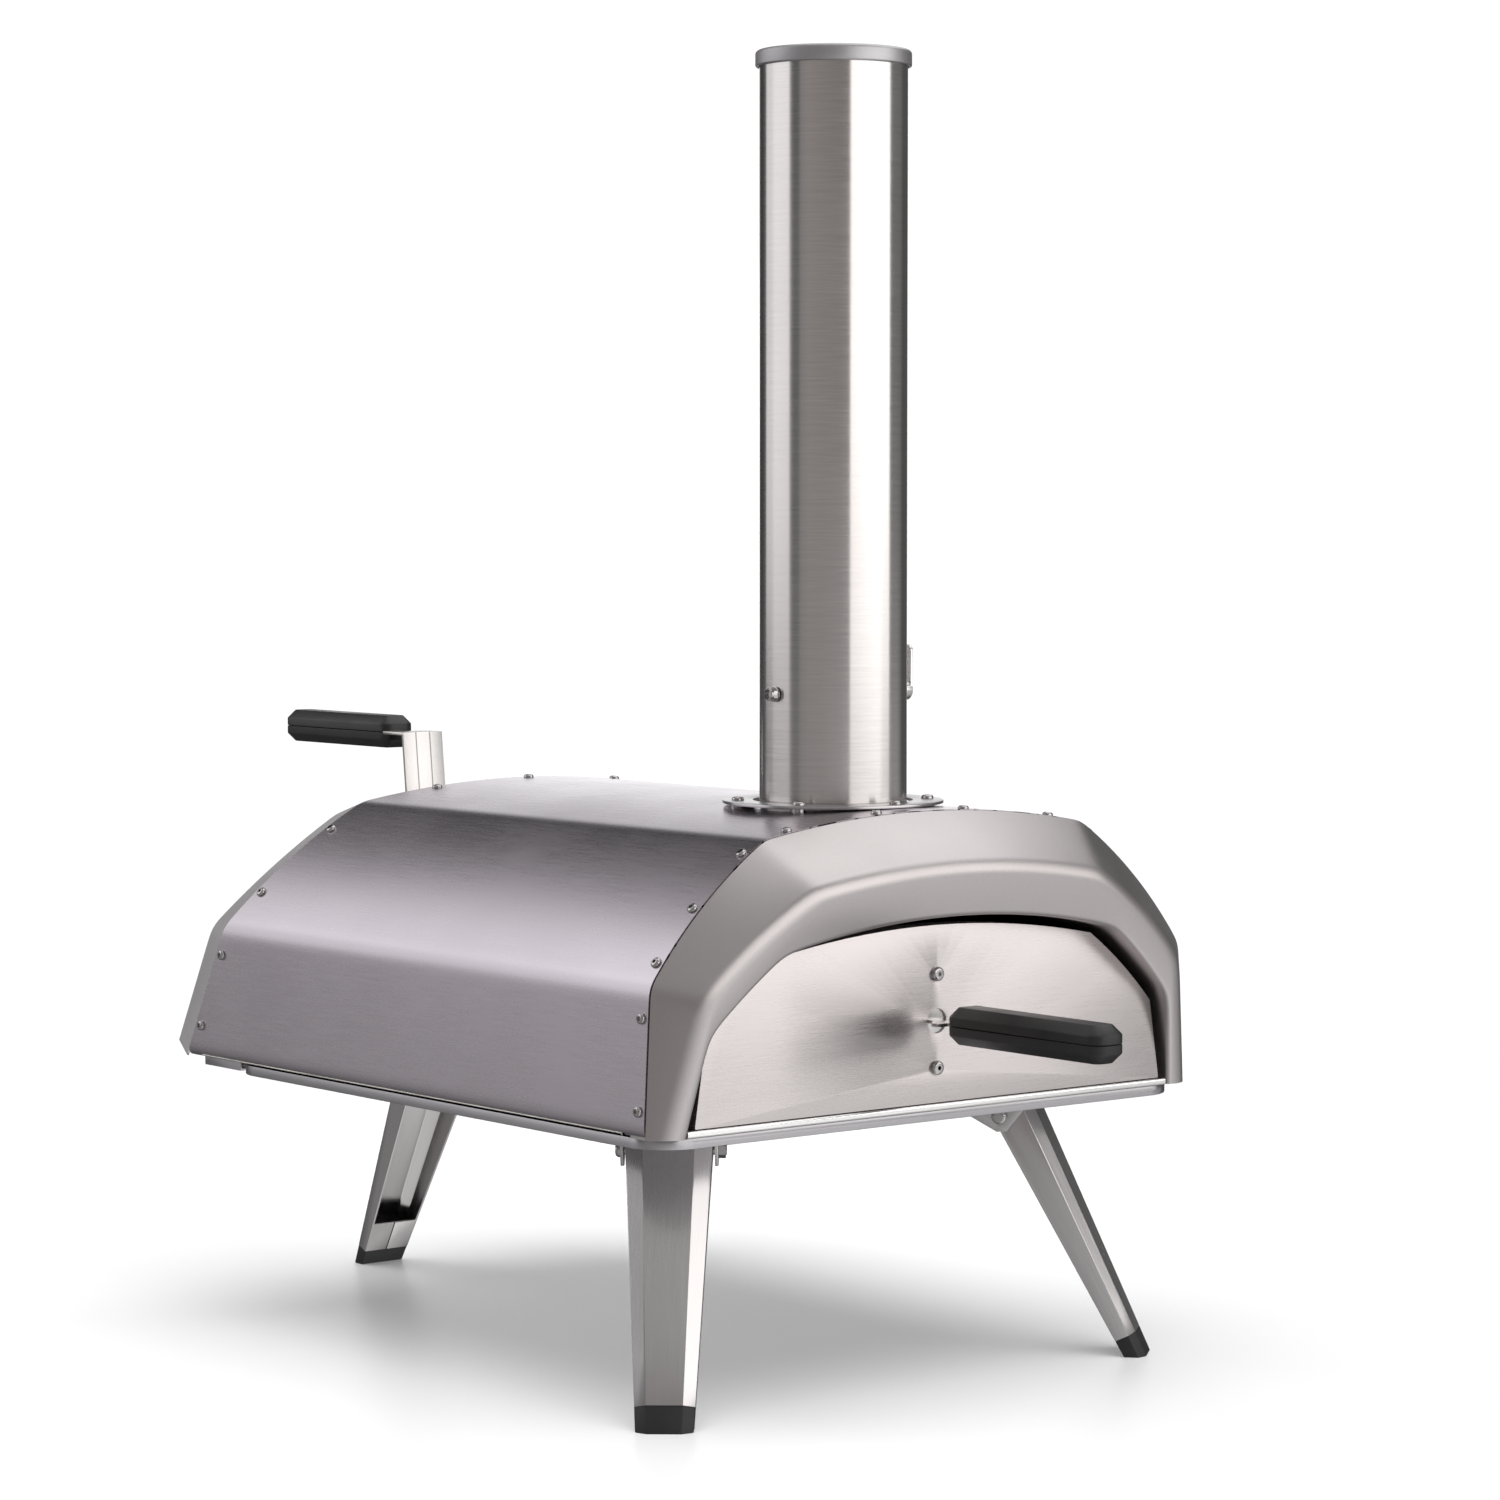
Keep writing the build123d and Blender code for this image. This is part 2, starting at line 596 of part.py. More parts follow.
def burner_housing():
    """Box behind the chamber: side walls, floor and back, open on top and to the drawer."""
    wall = 1.5
    half = HOUSING_HALF
    outer = box(-half, half, 395, HOUSING_BACK, HOUSING_BOTTOM, HOUSING_TOP)
    room = box(-half + wall, half - wall, 380, HOUSING_BACK - wall, HOUSING_BOTTOM + wall, HOUSING_TOP + 10)
    front_cut = prism([(-90, 300, 150), (-90, rear_depth(150, 3.4), 150), (-90, rear_depth(330, 3.4), 330),
                       (-90, 300, 330)], (1, 0, 0), 180)
    drawer = box(-FUEL_TRAY_HALF - 0.8, FUEL_TRAY_HALF + 0.8, HOUSING_BACK - 5, HOUSING_BACK + 5,
                 FUEL_TRAY_BOTTOM - 0.5, FUEL_TRAY_TOP + 1.0)
    body = outer - room - front_cut - drawer
    slope_roof = prism([(-half, rear_depth(HOUSING_TOP - wall, 3.4), HOUSING_TOP - wall),
                        (-half, 462, HOUSING_TOP - wall), (-half, 462, HOUSING_TOP),
                        (-half, rear_depth(HOUSING_TOP, 3.4), HOUSING_TOP)], (1, 0, 0), 2 * half)
    return body + slope_roof


def hatch_lid():
    """Flat lid over the chute with turned-down edges at the sides and the back."""
    half = HOUSING_HALF + 2.6
    low = HOUSING_TOP + 0.4
    front = 461.0
    back = HOUSING_BACK + 2.6
    lid = box(-half, half, front, back, low, low + HATCH_PLATE_T)
    for side in (-1, 1):
        x_0, x_1 = sorted((side * half, side * (half - 1.5)))
        lid += box(x_0, x_1, 472, back, low - 9.0, low + 0.1)
    lid += box(-half, half, back - 1.5, back, low - 9.0, low + 0.1)
    return lid


def hatch_strap():
    """Upright strap on the lid that leans back and bends over into the handle."""
    low = HOUSING_TOP + 0.4 + HATCH_PLATE_T
    foot_y = 503.0
    top_y = 511.0
    half = STRAP_W / 2
    top_z = HATCH_HANDLE_Z
    t = STRAP_T

    def ribbon(points, x_0, x_1):
        return prism([(x_0, y, z) for y, z in points], (1, 0, 0), x_1 - x_0)

    lean = (top_y - foot_y) / (top_z - low)
    upright = ribbon([(foot_y, low + 0.02), (foot_y + t, low + 0.02), (top_y + t + 0.1, top_z + 1),
                      (top_y, top_z + 1)], -half, half)
    foot = ribbon([(foot_y - 18, low), (foot_y + t, low), (foot_y + t, low + t), (foot_y - 18, low + t)], -half, half)
    tab = ribbon([(top_y - lean, top_z - 1), (HATCH_HANDLE_Y - 3, top_z - 1), (HATCH_HANDLE_Y - 3, top_z + 1),
                  (top_y - lean, top_z + 1)], -half, half)
    core = ribbon([(HATCH_HANDLE_Y - 4, top_z - 1), (HATCH_HANDLE_Y + 70, top_z - 1),
                   (HATCH_HANDLE_Y + 70, top_z + 1), (HATCH_HANDLE_Y - 4, top_z + 1)], -8, 8)
    part = upright + foot + tab + core
    for side in (-1, 1):
        part -= rod((side * 9, foot_y - 9, low - 3), (0, 0, 1), 1.5, 8)
    return part


def hatch_rivets():
    """Two dome rivets through the strap's foot."""
    low = HOUSING_TOP + 0.4 + HATCH_PLATE_T + STRAP_T
    dome = Sphere(3.4) & Pos(0, 0, 2) * Box(10, 10, 4)
    rivet = dome + Pos(0, 0, -0.9) * Cylinder(1.4, 1.9)
    return Compound(children=[Pos(side * 9, 494.0, low) * rivet for side in (-1, 1)])


def fuel_tray():
    """Drawer for the fire: a punched pan with a front plate and a folded pull."""
    t = 1.5
    half = FUEL_TRAY_HALF
    back = HOUSING_BACK + 0.4
    pan = box(-half, half, FUEL_TRAY_FRONT, back, FUEL_TRAY_BOTTOM, FUEL_TRAY_TOP)
    pan -= box(-half + t, half - t, FUEL_TRAY_FRONT + t, back + 5, FUEL_TRAY_BOTTOM + t, FUEL_TRAY_TOP + 5)
    pan -= box(-half - 1, half + 1, FUEL_TRAY_FRONT - 1, FUEL_TRAY_FRONT + t + 0.5, 205, FUEL_TRAY_TOP + 5)
    plate = box(-half - 4, half + 4, back, back + t, FUEL_TRAY_BOTTOM - 2.0, FUEL_TRAY_TOP + 4)
    pull = box(-18, 18, back + t - 0.2, back + 14, 206, 206 + t)
    pull += box(-18, 18, back + 12.5, back + 14, 198, 206 + t)
    tray = pan + plate + pull
    for column in range(4):
        for row in range(3):
            tray -= rod((-27 + 18 * column, 400 + 36 * row, FUEL_TRAY_BOTTOM - 2), (0, 0, 1), 4.0, 6)
    return tray


def fuel_grate():
    """Plate with long slots that lifts the wood above the drawer's floor."""
    half = FUEL_TRAY_HALF - 2.2
    low = FUEL_TRAY_BOTTOM + 15.0
    plate = box(-half, half, 371, 512, low, low + 2.0)
    for side in (-1, 1):
        x_0, x_1 = sorted((side * half, side * (half - 2.0)))
        plate += box(x_0, x_1, 371, 512, FUEL_TRAY_BOTTOM + 1.6, low + 0.2)
    for bar in range(7):
        y = 384 + 19 * bar
        plate -= box(-half + 8, half - 8, y, y + 9, low - 1, low + 4)
    return plate


def rear_leg_plate():
    """Thick plate under the burner that carries the rear leg and closes the oven behind the tray."""
    plate = box(-58, 58, TRAY_BACK + 0.3, 521, TRAY_BOTTOM, TRAY_BOTTOM + 2.0)
    plate += box(-191.5, 191.5, TRAY_BACK + 0.3, 475.5, TRAY_BOTTOM, TRAY_BOTTOM + 2.0)
    for side in (-1, 1):
        x_0, x_1 = sorted((side * 190.0, side * 191.5))
        plate += box(x_0, x_1, TRAY_BACK + 0.3, 475.5, TRAY_BOTTOM + 1.0, BODY_BOTTOM[1] + SHELL_T)
    plate += box(-191.5, -60.5, 474.0, 475.5, TRAY_BOTTOM + 1.0, BODY_BOTTOM[1] + 2.4)
    plate += box(60.5, 191.5, 474.0, 475.5, TRAY_BOTTOM + 1.0, BODY_BOTTOM[1] + 2.4)
    for side in (-1, 1):
        x_0, x_1 = sorted((side * 43, side * 55))
        plate += box(x_0, x_1, 480, 519, TRAY_BOTTOM + 1.5, HOUSING_BOTTOM)
    return plate


# ---------------------------------------------------------------- chimney

def tube(radius, wall, z_0, z_1):
    """A straight round tube on the chimney's axis."""
    return flue_hole(radius, z_0, z_1) - flue_hole(radius - wall, z_0 - 1, z_1 + 1)


def flue_collar():
    """Spigot from the chamber's roof, which the chimney slips over."""
    roof = shrink(WALL_GAP)[0][2][1]
    spigot = tube(COLLAR_R, 1.0, roof - 1.6, 372.0)
    return spigot + tube(COLLAR_R + 8.0, 9.0, roof - 2.4, roof - 1.3)


def chimney_flange():
    """Round plate on the shell with six holes for its screws."""
    low = BODY_CROWN + 0.2
    plate = flue_hole(PLATE_R, low, low + PLATE_T) - flue_hole(PLATE_HOLE_R, low - 1, low + 9)
    for point, out in flange_places():
        plate -= rod(Vector(*point) - Vector(0, 0, 4), (0, 0, 1), 1.7, 6)
    return plate


def flange_places():
    """Screws of the chimney's plate."""
    top = BODY_CROWN + 0.2 + PLATE_T
    ring = [radians(30 + 60 * i) for i in range(6)]
    return [((56.5 * cos(a), FLUE_Y + 56.5 * sin(a), top), (0, 0, 1)) for a in ring]


def flange_spacers():
    """Short bushes between the curved shell and the flat plate, one under each screw."""
    bushes = []
    body = tunnel(0, 0, 200)
    for (x, y, _), _ in flange_places():
        low = crown_place(x, y)[0][2] - 3.0
        bush = rod((x, y, low), (0, 0, 1), 4.2, BODY_CROWN + 0.2 - low) - body
        bushes.append(bush - rod((x, y, low - 1), (0, 0, 1), 1.7, 9))
    return Compound(children=bushes)


def flange_screws():
    """The plate's six button-head screws."""
    return set_screws(flange_places(), 3.6, 2.2)


def chimney_tube():
    """Tall brushed tube with holes for the damper's axle and a lock dimple ring at its foot."""
    pipe = tube(FLUE_R, FLUE_T, FLUE_BOTTOM, CAP_BOTTOM + 4.7)
    return pipe - rod((-60, FLUE_Y, DAMPER_Z), (1, 0, 0), DAMPER_AXLE_R + 0.05, 120)


def chimney_cap():
    """Cap with a rounded skirt outside the tube and a shallow domed lid."""
    low = CAP_BOTTOM
    body = flue_hole(CAP_R, low, CAP_TOP)
    body = fillet(body.edges().filter_by(GeomType.CIRCLE), 1.8)
    body -= flue_hole(FLUE_R + 0.4, low - 1, low + 5.0)
    return body


def damper_plate():
    """Round flap on the axle, standing on edge when the flue is open."""
    disc = rod((0, FLUE_Y - 0.6, DAMPER_Z), (0, 1, 0), 39.5, 1.2)
    sleeve = rod((-30, FLUE_Y, DAMPER_Z), (1, 0, 0), DAMPER_AXLE_R + 1.6, 60)
    return disc + sleeve - rod((-60, FLUE_Y, DAMPER_Z), (1, 0, 0), DAMPER_AXLE_R, 120)


def damper_axle():
    """Round spindle across the chimney."""
    return rod((-FLUE_R - 4.2, FLUE_Y, DAMPER_Z), (1, 0, 0), DAMPER_AXLE_R, 2 * FLUE_R + 20)


def damper_nut():
    """Washer and nut on the left end of the spindle, with the screw's head outside them."""
    start = -FLUE_R - 0.3
    washer = rod((start, FLUE_Y, DAMPER_Z), (-1, 0, 0), 4.6, 0.9)
    nut = Plane(origin=(start - 0.9, FLUE_Y, DAMPER_Z), z_dir=(-1, 0, 0)) * extrude(RegularPolygon(4.2, 6), amount=2.8)
    head = Plane(origin=(start - 3.7, FLUE_Y, DAMPER_Z), z_dir=(-1, 0, 0)) * screw_dome(3.6, 2.2)
    whole = washer + nut + head
    return whole - rod((-60, FLUE_Y, DAMPER_Z), (1, 0, 0), DAMPER_AXLE_R, 60 - FLUE_R - 4.2 + 8.4)


def screw_dome(radius, height):
    """A button head without a shank."""
    dome = Cylinder(radius, height, align=(Align.CENTER, Align.CENTER, Align.MIN))
    return fillet(dome.edges().sort_by(Axis.Z)[-1], height * 0.7)


def damper_lever():
    """Flat sheet lever outside the chimney, curved under the spindle and standing up."""
    x_0 = DAMPER_LEVER_X - 1.5
    foot = rod((FLUE_R + 0.6, FLUE_Y, DAMPER_Z), (1, 0, 0), 6.0, x_0 - FLUE_R + 0.6)
    blade = box(x_0, x_0 + 1.8, FLUE_Y - 5.5, FLUE_Y + 5.5, DAMPER_Z, DAMPER_Z + 27.0)
    tip = blade.edges().filter_by(Axis.X).sort_by(Axis.Z)[-2:]
    blade = fillet(tip, 4.0)
    eye = rod((x_0, FLUE_Y, DAMPER_Z), (1, 0, 0), 5.5, 1.8)
    whole = foot + blade + eye
    return whole - rod((20, FLUE_Y, DAMPER_Z), (1, 0, 0), DAMPER_AXLE_R, FLUE_R + 15.8 - 20)


# ---------------------------------------------------------------- legs

def leg_frames():
    """Pivot, hinge direction and local plane of each leg. Local z runs down the leg."""
    frames = {}
    turn = radians(FRONT_DIRECTION)
    lean = radians(LEG_LEAN)
    feet = {
        "front_left": (Vector(-FRONT_FOOT[0], FRONT_FOOT[1], 0), Vector(-sin(turn), -cos(turn), 0)),
        "front_right": (Vector(FRONT_FOOT[0], FRONT_FOOT[1], 0), Vector(sin(turn), -cos(turn), 0)),
        "rear": (Vector(0, REAR_FOOT_DEPTH, 0), Vector(0, 1, 0)),
    }
    for name, (foot, way) in feet.items():
        pivot = foot - way * LEG_REACH + Vector(0, 0, LEG_PIVOT_Z)
        down = way * sin(lean) - Vector(0, 0, cos(lean))
        across = Vector(-way.Y, way.X, 0)
        frames[name] = (pivot, across, Plane(origin=pivot, x_dir=across, z_dir=down))
    return frames


def leg_section(u, t=0.0, open_back=0.0):
    """The folded sheet's section at a distance down the leg, moved in by the sheet."""
    share = u / 166.0
    half = LEG_TOP_HALF + (LEG_FOOT_HALF - LEG_TOP_HALF) * share - t
    cut = 10.0 - 3.6 * share
    depth_cut = 5.0 - 1.2 * share
    edge = -4.5 + 0.0683 * u - open_back
    crease = 14.7 - 0.45 * t
    web = 14.7 + depth_cut - t
    points = [(-half, edge), (-half, crease), (-half + cut, web), (half - cut, web), (half, crease), (half, edge)]
    return make_face(Polyline(*[(x, y, u) for x, y in points], close=True))


def leg_bar(u_0, u_1, t=0.0, open_back=0.0):
    """The tapered leg's form between two distances."""
    return loft([leg_section(u_0, t, open_back), leg_section(u_1, t, open_back)], ruled=True)


def leg_channel():
    """Tapered channel with chamfered corners, closed by two tabs above the foot."""
    channel = leg_bar(-9.0, LEG_END) - leg_bar(-20.0, LEG_END + 10, LEG_T, 20.0)
    channel -= leg_trim()
    tabs = leg_bar(LEG_END - 22, LEG_END, 0.9) - leg_bar(LEG_END - 30, LEG_END + 5, 0.4, -LEG_T)
    for side in (-1, 1):
        x_0, x_1 = sorted((side * 0.35, side * 40))
        channel += tabs & box(x_0, x_1, -40, 40, 0, 200)
        channel -= rod((side * 40, 0, 0), (-side, 0, 0), PIN_R + 0.06, 40)
    return channel


def leg_trim():
    """Everything above the bracket's top plate, in the leg's own frame."""
    lean = radians(LEG_LEAN)
    up = Vector(0, sin(lean), -cos(lean))
    ahead = Vector(0, cos(lean), sin(lean))
    start = up * 10.2
    return prism([start - ahead * 60 - Vector(60, 0, 0), start + ahead * 60 - Vector(60, 0, 0),
                  start + ahead * 60 + up * 60 - Vector(60, 0, 0), start - ahead * 60 + up * 60 - Vector(60, 0, 0)],
                 (1, 0, 0), 120)


def leg_foot():
    """Rubber foot, cut level with the floor in place, with a plug up inside the channel."""
    length = LEG_PIVOT_Z / cos(radians(LEG_LEAN))
    sleeve = leg_bar(LEG_END + 0.02, length + 14)
    plug = leg_bar(LEG_END - 12, LEG_END + 1, LEG_T + 0.1, -LEG_T - 0.6)
    return sleeve + plug


def leg_bracket():
    """Channel under the tray: a top plate and two pointed ears with a hole each."""
    inner = LEG_TOP_HALF + 1.0
    t = 2.0
    top = TRAY_BOTTOM - LEG_PIVOT_Z
    plate = box(-inner - t, inner + t, -36.5, 21, top - t, top)
    ears = plate
    outline = [(-36.5, top), (21, top), (19.5, top - 3), (4.5, -9.0), (-1.5, -9.4), (-36.5, top - 3.5)]
    for side in (-1, 1):
        x_0 = side * inner if side > 0 else -inner - t
        ears += prism([(x_0, y, z) for y, z in outline], (1, 0, 0), t)
    return ears - rod((-40, 0, 0), (1, 0, 0), PIN_R + 0.04, 80)


def leg_pin():
    """Hinge bolt through both ears, with a button head and a nut."""
    reach = LEG_TOP_HALF + 3.1
    shaft = rod((-reach - 4.6, 0, 0), (1, 0, 0), PIN_R, 2 * reach + 6.0)
    head = Plane(origin=(reach, 0, 0), z_dir=(1, 0, 0)) * screw_dome(4.6, 3.0)
    nut = Plane(origin=(-reach, 0, 0), z_dir=(-1, 0, 0)) * extrude(RegularPolygon(5.0, 6), amount=4.0)
    return shaft + head + nut


# ---------------------------------------------------------------- write the nodes

def save_body():
    save("outer_shell", outer_shell())
    save("front_bezel", front_bezel())
    save("mouth_frame", mouth_frame())
    save("rear_bezel", rear_bezel())
    save("liner", liner())
    save("liner_floor", liner_floor())
    save("liner_back", liner_back())
    for name, slab in {**wall_slabs(), **back_slabs()}.items():
        save(name, slab)
    save("base_tray", base_tray())
    save("insulation_floor", floor_insulation())
    save("front_lip", front_lip())
    save("baking_stone", baking_stone())
    save("flame_guard", flame_guard())
    save("bezel_screws", set_screws(seam_places()))
    save("rear_screws", set_screws(rear_places()))


def save_door():
    save("door_outer_skin", door_outer_skin())
    save("door_inner_skin", door_inner_skin())
    save("door_insulation", door_insulation())
    save("door_bracket", door_bracket())
    save("door_screws", door_screws())
    save("door_handle_upper", door_handle(True))
    save("door_handle_lower", door_handle(False))
    save("door_handle_screws", handle_screws(DOOR_HANDLE_Y, -1, DOOR_HOLE_Z))


def save_burner():
    save("burner_housing", burner_housing())
    save("hatch_lid", hatch_lid())
    save("hatch_strap", hatch_strap())
    save("hatch_rivets", hatch_rivets())
    save("hatch_handle_upper", hatch_handle(True))
    save("hatch_handle_lower", hatch_handle(False))
    save("hatch_handle_screws", handle_screws(HATCH_HANDLE_Y, 1, HATCH_HANDLE_Z))
    save("fuel_tray", fuel_tray())
    save("fuel_grate", fuel_grate())
    save("rear_leg_plate", rear_leg_plate())


def save_chimney():
    save("flue_collar", flue_collar())
    save("chimney_flange", chimney_flange())
    save("flange_spacers", flange_spacers())
    save("flange_screws", flange_screws())
    save("chimney_tube", chimney_tube())
    save("chimney_cap", chimney_cap())
    save("damper_plate", damper_plate())
    save("damper_axle", damper_axle())
    save("damper_nut", damper_nut())
    save("damper_lever", damper_lever())


def save_legs():
    ground = box(-600, 600, -600, 1200, -100, 0)
    brackets = []
    pins = []
    for name, (pivot, across, plane) in leg_frames().items():
        upright = Plane(origin=pivot, x_dir=-across, z_dir=(0, 0, 1))
        save(f"leg_{name}", plane * leg_channel())
        save(f"foot_{name}", plane * leg_foot() - ground)
        brackets.append(upright * leg_bracket())
        pins.append(upright * leg_pin())
    save("leg_brackets", Compound(children=brackets))
    save("leg_pins", Compound(children=pins))


if __name__ == "__main__":
    os.makedirs("parts", exist_ok=True)
    save_body()
    save_door()
    save_burner()
    save_chimney()
    save_legs()
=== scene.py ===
"""Wood fired pizza oven on folding legs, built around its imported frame.

Metres, +Z up, the mouth towards -Y. Sizes of sheet parts are written in millimetres, with depths
counted from the seam between the front bezel and the shell, and `at` places them in the frame.
"""

from math import cos, hypot, pi, radians, sin

import bmesh
import bpy
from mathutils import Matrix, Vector


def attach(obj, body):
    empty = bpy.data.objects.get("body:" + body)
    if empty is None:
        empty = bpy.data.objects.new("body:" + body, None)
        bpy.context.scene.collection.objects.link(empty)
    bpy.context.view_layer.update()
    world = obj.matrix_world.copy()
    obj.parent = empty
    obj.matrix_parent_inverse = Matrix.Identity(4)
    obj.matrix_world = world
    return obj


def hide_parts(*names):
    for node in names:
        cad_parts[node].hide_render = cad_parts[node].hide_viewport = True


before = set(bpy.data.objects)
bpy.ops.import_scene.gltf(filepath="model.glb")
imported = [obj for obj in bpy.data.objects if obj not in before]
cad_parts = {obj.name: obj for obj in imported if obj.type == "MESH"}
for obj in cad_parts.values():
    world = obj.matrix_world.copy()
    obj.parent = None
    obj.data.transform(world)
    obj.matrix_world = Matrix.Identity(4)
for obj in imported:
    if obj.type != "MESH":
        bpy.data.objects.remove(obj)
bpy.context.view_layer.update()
scene = bpy.context.scene
scene.view_settings.view_transform = "Standard"

# ---------------------------------------------------------------------------
# Studio: a long lens from the left of the mouth, a pale floor, and soft boxes
# placed so that the bent steel shows as bands of light and shade.

LENS_LENGTH = 104.03
SENSOR_WIDTH = 36.0
CLIP_NEAR, CLIP_FAR = 0.05, 60.0
CAMERA_PLACE = (-1.62594, -2.12484, 0.51068)
CAMERA_TILT = 86.8
CAMERA_HEADING = -38.65

lens = bpy.data.cameras.new("camera")
lens.lens = LENS_LENGTH
lens.sensor_width = SENSOR_WIDTH
lens.clip_start = CLIP_NEAR
lens.clip_end = CLIP_FAR
camera = bpy.data.objects.new("camera", lens)
camera.location = CAMERA_PLACE
camera.rotation_euler = (radians(CAMERA_TILT), 0.0, radians(CAMERA_HEADING))
scene.collection.objects.link(camera)
scene.camera = camera


def link(nodes, source, target):
    """Joins two sockets of a node tree."""
    nodes.links.new(source, target)


def math_node(nodes, operation, *values):
    """A Math node whose inputs are numbers or sockets; returns its output."""
    node = nodes.nodes.new("ShaderNodeMath")
    node.operation = operation
    for socket, value in zip(node.inputs, values):
        if isinstance(value, (int, float)):
            socket.default_value = value
        else:
            link(nodes, value, socket)
    return node.outputs[0]


def range_node(nodes, value, low, high, out_low=0.0, out_high=1.0, smooth="LINEAR"):
    """A Map Range node; returns its output."""
    node = nodes.nodes.new("ShaderNodeMapRange")
    node.interpolation_type = smooth
    link(nodes, value, node.inputs["Value"])
    for key, number in (("From Min", low), ("From Max", high), ("To Min", out_low), ("To Max", out_high)):
        node.inputs[key].default_value = number
    return node.outputs["Result"]


def ramp_node(nodes, factor, stops, smooth="LINEAR"):
    """A colour ramp of grey or coloured stops; returns its colour output."""
    node = nodes.nodes.new("ShaderNodeValToRGB")
    node.color_ramp.interpolation = smooth
    elements = node.color_ramp.elements
    elements[0].position = stops[0][0]
    elements[1].position = stops[-1][0]
    for place, _ in stops[1:-1]:
        elements.new(place)
    for element, (_, value) in zip(elements, stops):
        shade = (value, value, value) if isinstance(value, (int, float)) else value
        element.color = (*shade, 1.0)
    link(nodes, factor, node.inputs["Fac"])
    return node.outputs["Color"]


# Shades of the walls by heading in degrees, 0 towards +Y and 90 towards +X.
GROUND_WALLS = [
    (-180, 0.95), (-150, 0.60), (-120, 0.42), (-90, 0.30), (-60, 0.36), (-36, 0.36), (-28, 0.20),
    (0, 0.10), (84, 0.10), (100, 0.52), (128, 0.55), (134, 0.60), (142, 1.30), (178, 0.95)]
LOW_WALLS = [
    (-180, (0.21, 0.195, 0.19)), (-150, (0.21, 0.195, 0.19)), (-128, (0.27, 0.25, 0.24)),
    (-100, (0.35, 0.325, 0.315)), (-88, 0.30), (-84, 0.12), (-74, 0.12), (-68, 0.46), (-36, 0.46),
    (-28, 0.22), (-20, 0.22), (-10, 0.14), (2, 0.06), (20, 0.06), (28, 1.05), (46, 1.05), (52, 0.08),
    (84, 0.10), (92, 0.18), (116, 0.18), (124, 0.45), (178, 0.25)]
HIGH_WALLS = [
    (-180, 0.34), (-150, 0.45), (-105, 0.42), (-80, 0.30), (-40, 0.74), (-16, 0.74), (-4, 0.20),
    (5, 0.03), (40, 0.03), (70, 0.20), (178, 0.22)]
GROUND_TO_LOW = (-0.075, -0.045)
LOW_TO_HIGH = (0.30, 0.48)
WALL_GLOW = 1.0
PAPER_GLOW = 1.05
FULL_TURN = 360.0
WHITE = (1.0, 1.0, 1.0)


def wall_shades(nodes, share, walls):
    """The shade of a band of the walls from a share of the full turn."""
    half = FULL_TURN / 2
    return ramp_node(nodes, share, [((heading + half) / FULL_TURN, shade) for heading, shade in walls])


def blend(nodes, rise, low, high, band):
    """Mixes two shades of the walls over a band of rise."""
    mix = nodes.nodes.new("ShaderNodeMix")
    mix.data_type = "RGBA"
    link(nodes, range_node(nodes, rise, *band, smooth="SMOOTHSTEP"), mix.inputs["Factor"])
    link(nodes, low, mix.inputs[6])
    link(nodes, high, mix.inputs[7])
    return mix.outputs[2]


world = bpy.data.worlds.new("studio")
scene.world = world
world.use_nodes = True
studio = world.node_tree
studio.nodes.clear()
sight = studio.nodes.new("ShaderNodeSeparateXYZ")
link(studio, studio.nodes.new("ShaderNodeTexCoord").outputs["Generated"], sight.inputs[0])
turn = math_node(studio, "ARCTAN2", sight.outputs["X"], sight.outputs["Y"])
turn_share = math_node(studio, "MULTIPLY_ADD", turn, 1 / (2 * pi), 0.5)
ground_walls, low_walls, high_walls = (
    wall_shades(studio, turn_share, walls) for walls in (GROUND_WALLS, LOW_WALLS, HIGH_WALLS))
lower_part = blend(studio, sight.outputs["Z"], ground_walls, low_walls, GROUND_TO_LOW)
surround = blend(studio, sight.outputs["Z"], lower_part, high_walls, LOW_TO_HIGH)
background = studio.nodes.new("ShaderNodeBackground")
link(studio, surround, background.inputs["Color"])
background.inputs["Strength"].default_value = WALL_GLOW
paper = studio.nodes.new("ShaderNodeBackground")
paper.inputs["Color"].default_value = (*WHITE, 1.0)
paper.inputs["Strength"].default_value = PAPER_GLOW
chooser = studio.nodes.new("ShaderNodeMixShader")
link(studio, studio.nodes.new("ShaderNodeLightPath").outputs["Is Camera Ray"], chooser.inputs[0])
link(studio, background.outputs[0], chooser.inputs[1])
link(studio, paper.outputs[0], chooser.inputs[2])
link(studio, chooser.outputs[0], studio.nodes.new("ShaderNodeOutputWorld").inputs["Surface"])

# Each soft box: its place, what it is aimed at, width, height, glow and tint. They show in
# bright surfaces only, and the wide skylight gives the soft shade on the floor.
SOFTBOXES = {
    "softbox_front_right": ((0.86, -2.30, 1.13), (0.0, -0.17, 1.13), 3.3, 1.7, 1.6, (1.0, 0.985, 0.97)),
    "softbox_left": ((-1.50, 1.61, 1.33), (0.0, 0.0, 1.33), 2.5, 1.95, 0.78, (0.98, 0.98, 1.0)),
    "softbox_over": ((0.75, -0.1, 2.1), (0.1, 0.0, 0.2), 2.2, 2.2, 1.45, WHITE),
    "softbox_back": ((1.75, 2.2, 0.42), (0.0, 0.0, 0.42), 1.0, 0.8, 0.85, WHITE),
}
SKY_STRENGTH = 2.75
SKY_SPREAD = 64.0
SKY_TILT = (12.0, -4.0)

for name, (place, aim, width, height, glow, tint) in SOFTBOXES.items():
    lamp = bpy.data.lights.new(name, "AREA")
    lamp.shape = "RECTANGLE"
    lamp.size = width
    lamp.size_y = height
    lamp.energy = glow * pi * width * height
    lamp.color = tint
    holder = bpy.data.objects.new(name, lamp)
    holder.location = place
    holder.rotation_euler = (Vector(aim) - Vector(place)).to_track_quat("-Z", "Y").to_euler()
    holder.visible_camera = False
    holder.visible_diffuse = False
    scene.collection.objects.link(holder)

